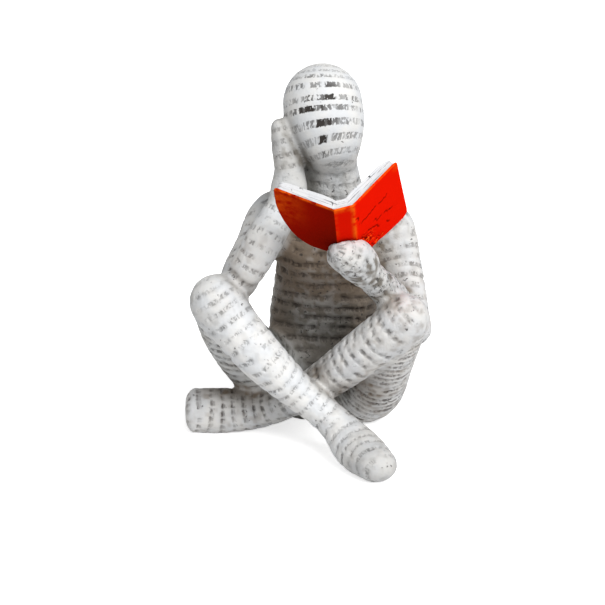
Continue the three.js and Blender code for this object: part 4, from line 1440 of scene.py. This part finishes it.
class FIGURINE_OT_figure(bpy.types.Operator):
    """Make the seated figure with its rows of marks"""

    bl_idname = "figurine.make_figure"
    bl_label = "Make Figure"

    def execute(self, context):
        sizes = context.scene.figurine_sizes
        look = context.scene.figurine_look
        cell = sizes.cell / MM
        points, quads = surface_points(cell)
        points = even_out(points, quads, EVENING_ROUNDS, cell)
        shift = way_to(points, FIGURE_BOX)
        slope = figure_distance(points)[1]
        slope /= np.maximum(np.linalg.norm(slope, axis=1, keepdims=True), 1e-6)
        results = [limb_distance(PATHS[name], points) for name in LIMB_NAMES]
        distances = np.stack([result[0] for result in results], 1)
        nearest = np.stack([result[2] for result in results], 1)
        paint = shade_regions(points, slope, print_marks(points, distances, nearest))
        shaped = points - slope * (sizes.relief * paint["depth"])[:, None]
        shaped[:, 2] = np.maximum(shaped[:, 2], 0)
        piece = make_mesh("printed_figure", shaped + shift, quads)
        row_map(piece, quads, points, distances, nearest)
        for key in ("print", "line", "tall", "wash_and_shade", "brown", "rough"):
            point_value(piece, key, paint[key])
        piece.data.materials.append(printed_resin(look))
        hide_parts("reading_figure")
        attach(piece, "root")
        return {"FINISHED"}


class FIGURINE_OT_book(bpy.types.Operator):
    """Make the open book: its covers with the spine, and its page blocks"""

    bl_idname = "figurine.make_book"
    bl_label = "Make Book"

    def execute(self, context):
        look = context.scene.figurine_look
        points, quads = covers_mesh()
        shift = way_to(points, BOOK_BOX)
        covers = make_mesh("book_covers", points + shift, quads)
        local = to_book(points)
        for key, values in cover_paint(*on_cover(local)).items():
            point_value(covers, key, values)
        covers.data.materials.append(red_paint(look))
        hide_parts("open_book")
        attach(covers, "root")
        points, quads = pages_mesh()
        pages = make_mesh("book_pages", points + shift, quads)
        leaf_map(pages, quads, to_book(points))
        pages.data.materials.append(page_paint(look))
        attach(pages, "root")
        return {"FINISHED"}


class FIGURINE_OT_stage(bpy.types.Operator):
    """Set the floor, the lamps and the camera"""

    bl_idname = "figurine.set_stage"
    bl_label = "Set Stage"

    def execute(self, context):
        scene = context.scene
        sizes = scene.figurine_sizes
        half = sizes.stage_width / 2
        mesh = bpy.data.meshes.new("floor")
        corners = [(-half, -half, 0), (half, -half, 0), (half, half, 0), (-half, half, 0)]
        mesh.from_pydata(corners, [], [(0, 1, 2, 3)])
        floor = bpy.data.objects.new("floor", mesh)
        scene.collection.objects.link(floor)
        mesh.materials.append(floor_paper())

        world = bpy.data.worlds.new("studio")
        world.use_nodes = True
        background = world.node_tree.nodes["Background"]
        background.inputs[0].default_value = WHITE
        background.inputs[1].default_value = sizes.room_strength
        scene.world = world
        lamp = bpy.data.lights.new("key", "SUN")
        lamp.energy = sizes.key_strength
        lamp.angle = KEY_WIDTH
        key = bpy.data.objects.new("key", lamp)
        key.rotation_euler = Vector(KEY_FROM).to_track_quat("Z", "Y").to_euler()
        scene.collection.objects.link(key)

        camera = bpy.data.cameras.new("camera")
        camera.lens = CAMERA_LENS
        camera.sensor_width = CAMERA_SENSOR
        camera.clip_start = CAMERA_NEAR
        camera.clip_end = CAMERA_FAR
        eye = bpy.data.objects.new("camera", camera)
        eye.location = [value * MM for value in CAMERA_PLACE]
        eye.rotation_euler = (math.pi / 2 - CAMERA_DOWN, 0, 0)
        scene.collection.objects.link(eye)
        scene.camera = eye
        scene.view_settings.view_transform = "Standard"
        return {"FINISHED"}


class FIGURINE_PT_panel(bpy.types.Panel):
    """Lists the steps that make the figurine"""

    bl_idname = "FIGURINE_PT_panel"
    bl_label = "Reading Woman Figurine"
    bl_space_type = "VIEW_3D"
    bl_region_type = "UI"
    bl_category = "Figurine"

    def draw(self, context):
        layout = self.layout
        for name in STEPS:
            layout.operator(f"figurine.{name}")
        for settings in (context.scene.figurine_sizes, context.scene.figurine_look):
            box = layout.box()
            for prop in settings.bl_rna.properties:
                if prop.identifier not in {"rna_type", "name"}:
                    box.prop(settings, prop.identifier)


STEPS = ("set_stage", "make_figure", "make_book")
CLASSES = (
    FigurineLook, FigurineSizes, FIGURINE_OT_stage, FIGURINE_OT_figure, FIGURINE_OT_book,
    FIGURINE_PT_panel,
)


def register():
    for cls in CLASSES:
        bpy.utils.register_class(cls)
    bpy.types.Scene.figurine_look = bpy.props.PointerProperty(type=FigurineLook)
    bpy.types.Scene.figurine_sizes = bpy.props.PointerProperty(type=FigurineSizes)


def unregister():
    del bpy.types.Scene.figurine_sizes
    del bpy.types.Scene.figurine_look
    for cls in reversed(CLASSES):
        bpy.utils.unregister_class(cls)


def main():
    register()
    for name in STEPS:
        getattr(bpy.ops.figurine, name)()


if __name__ == "__main__":
    main()
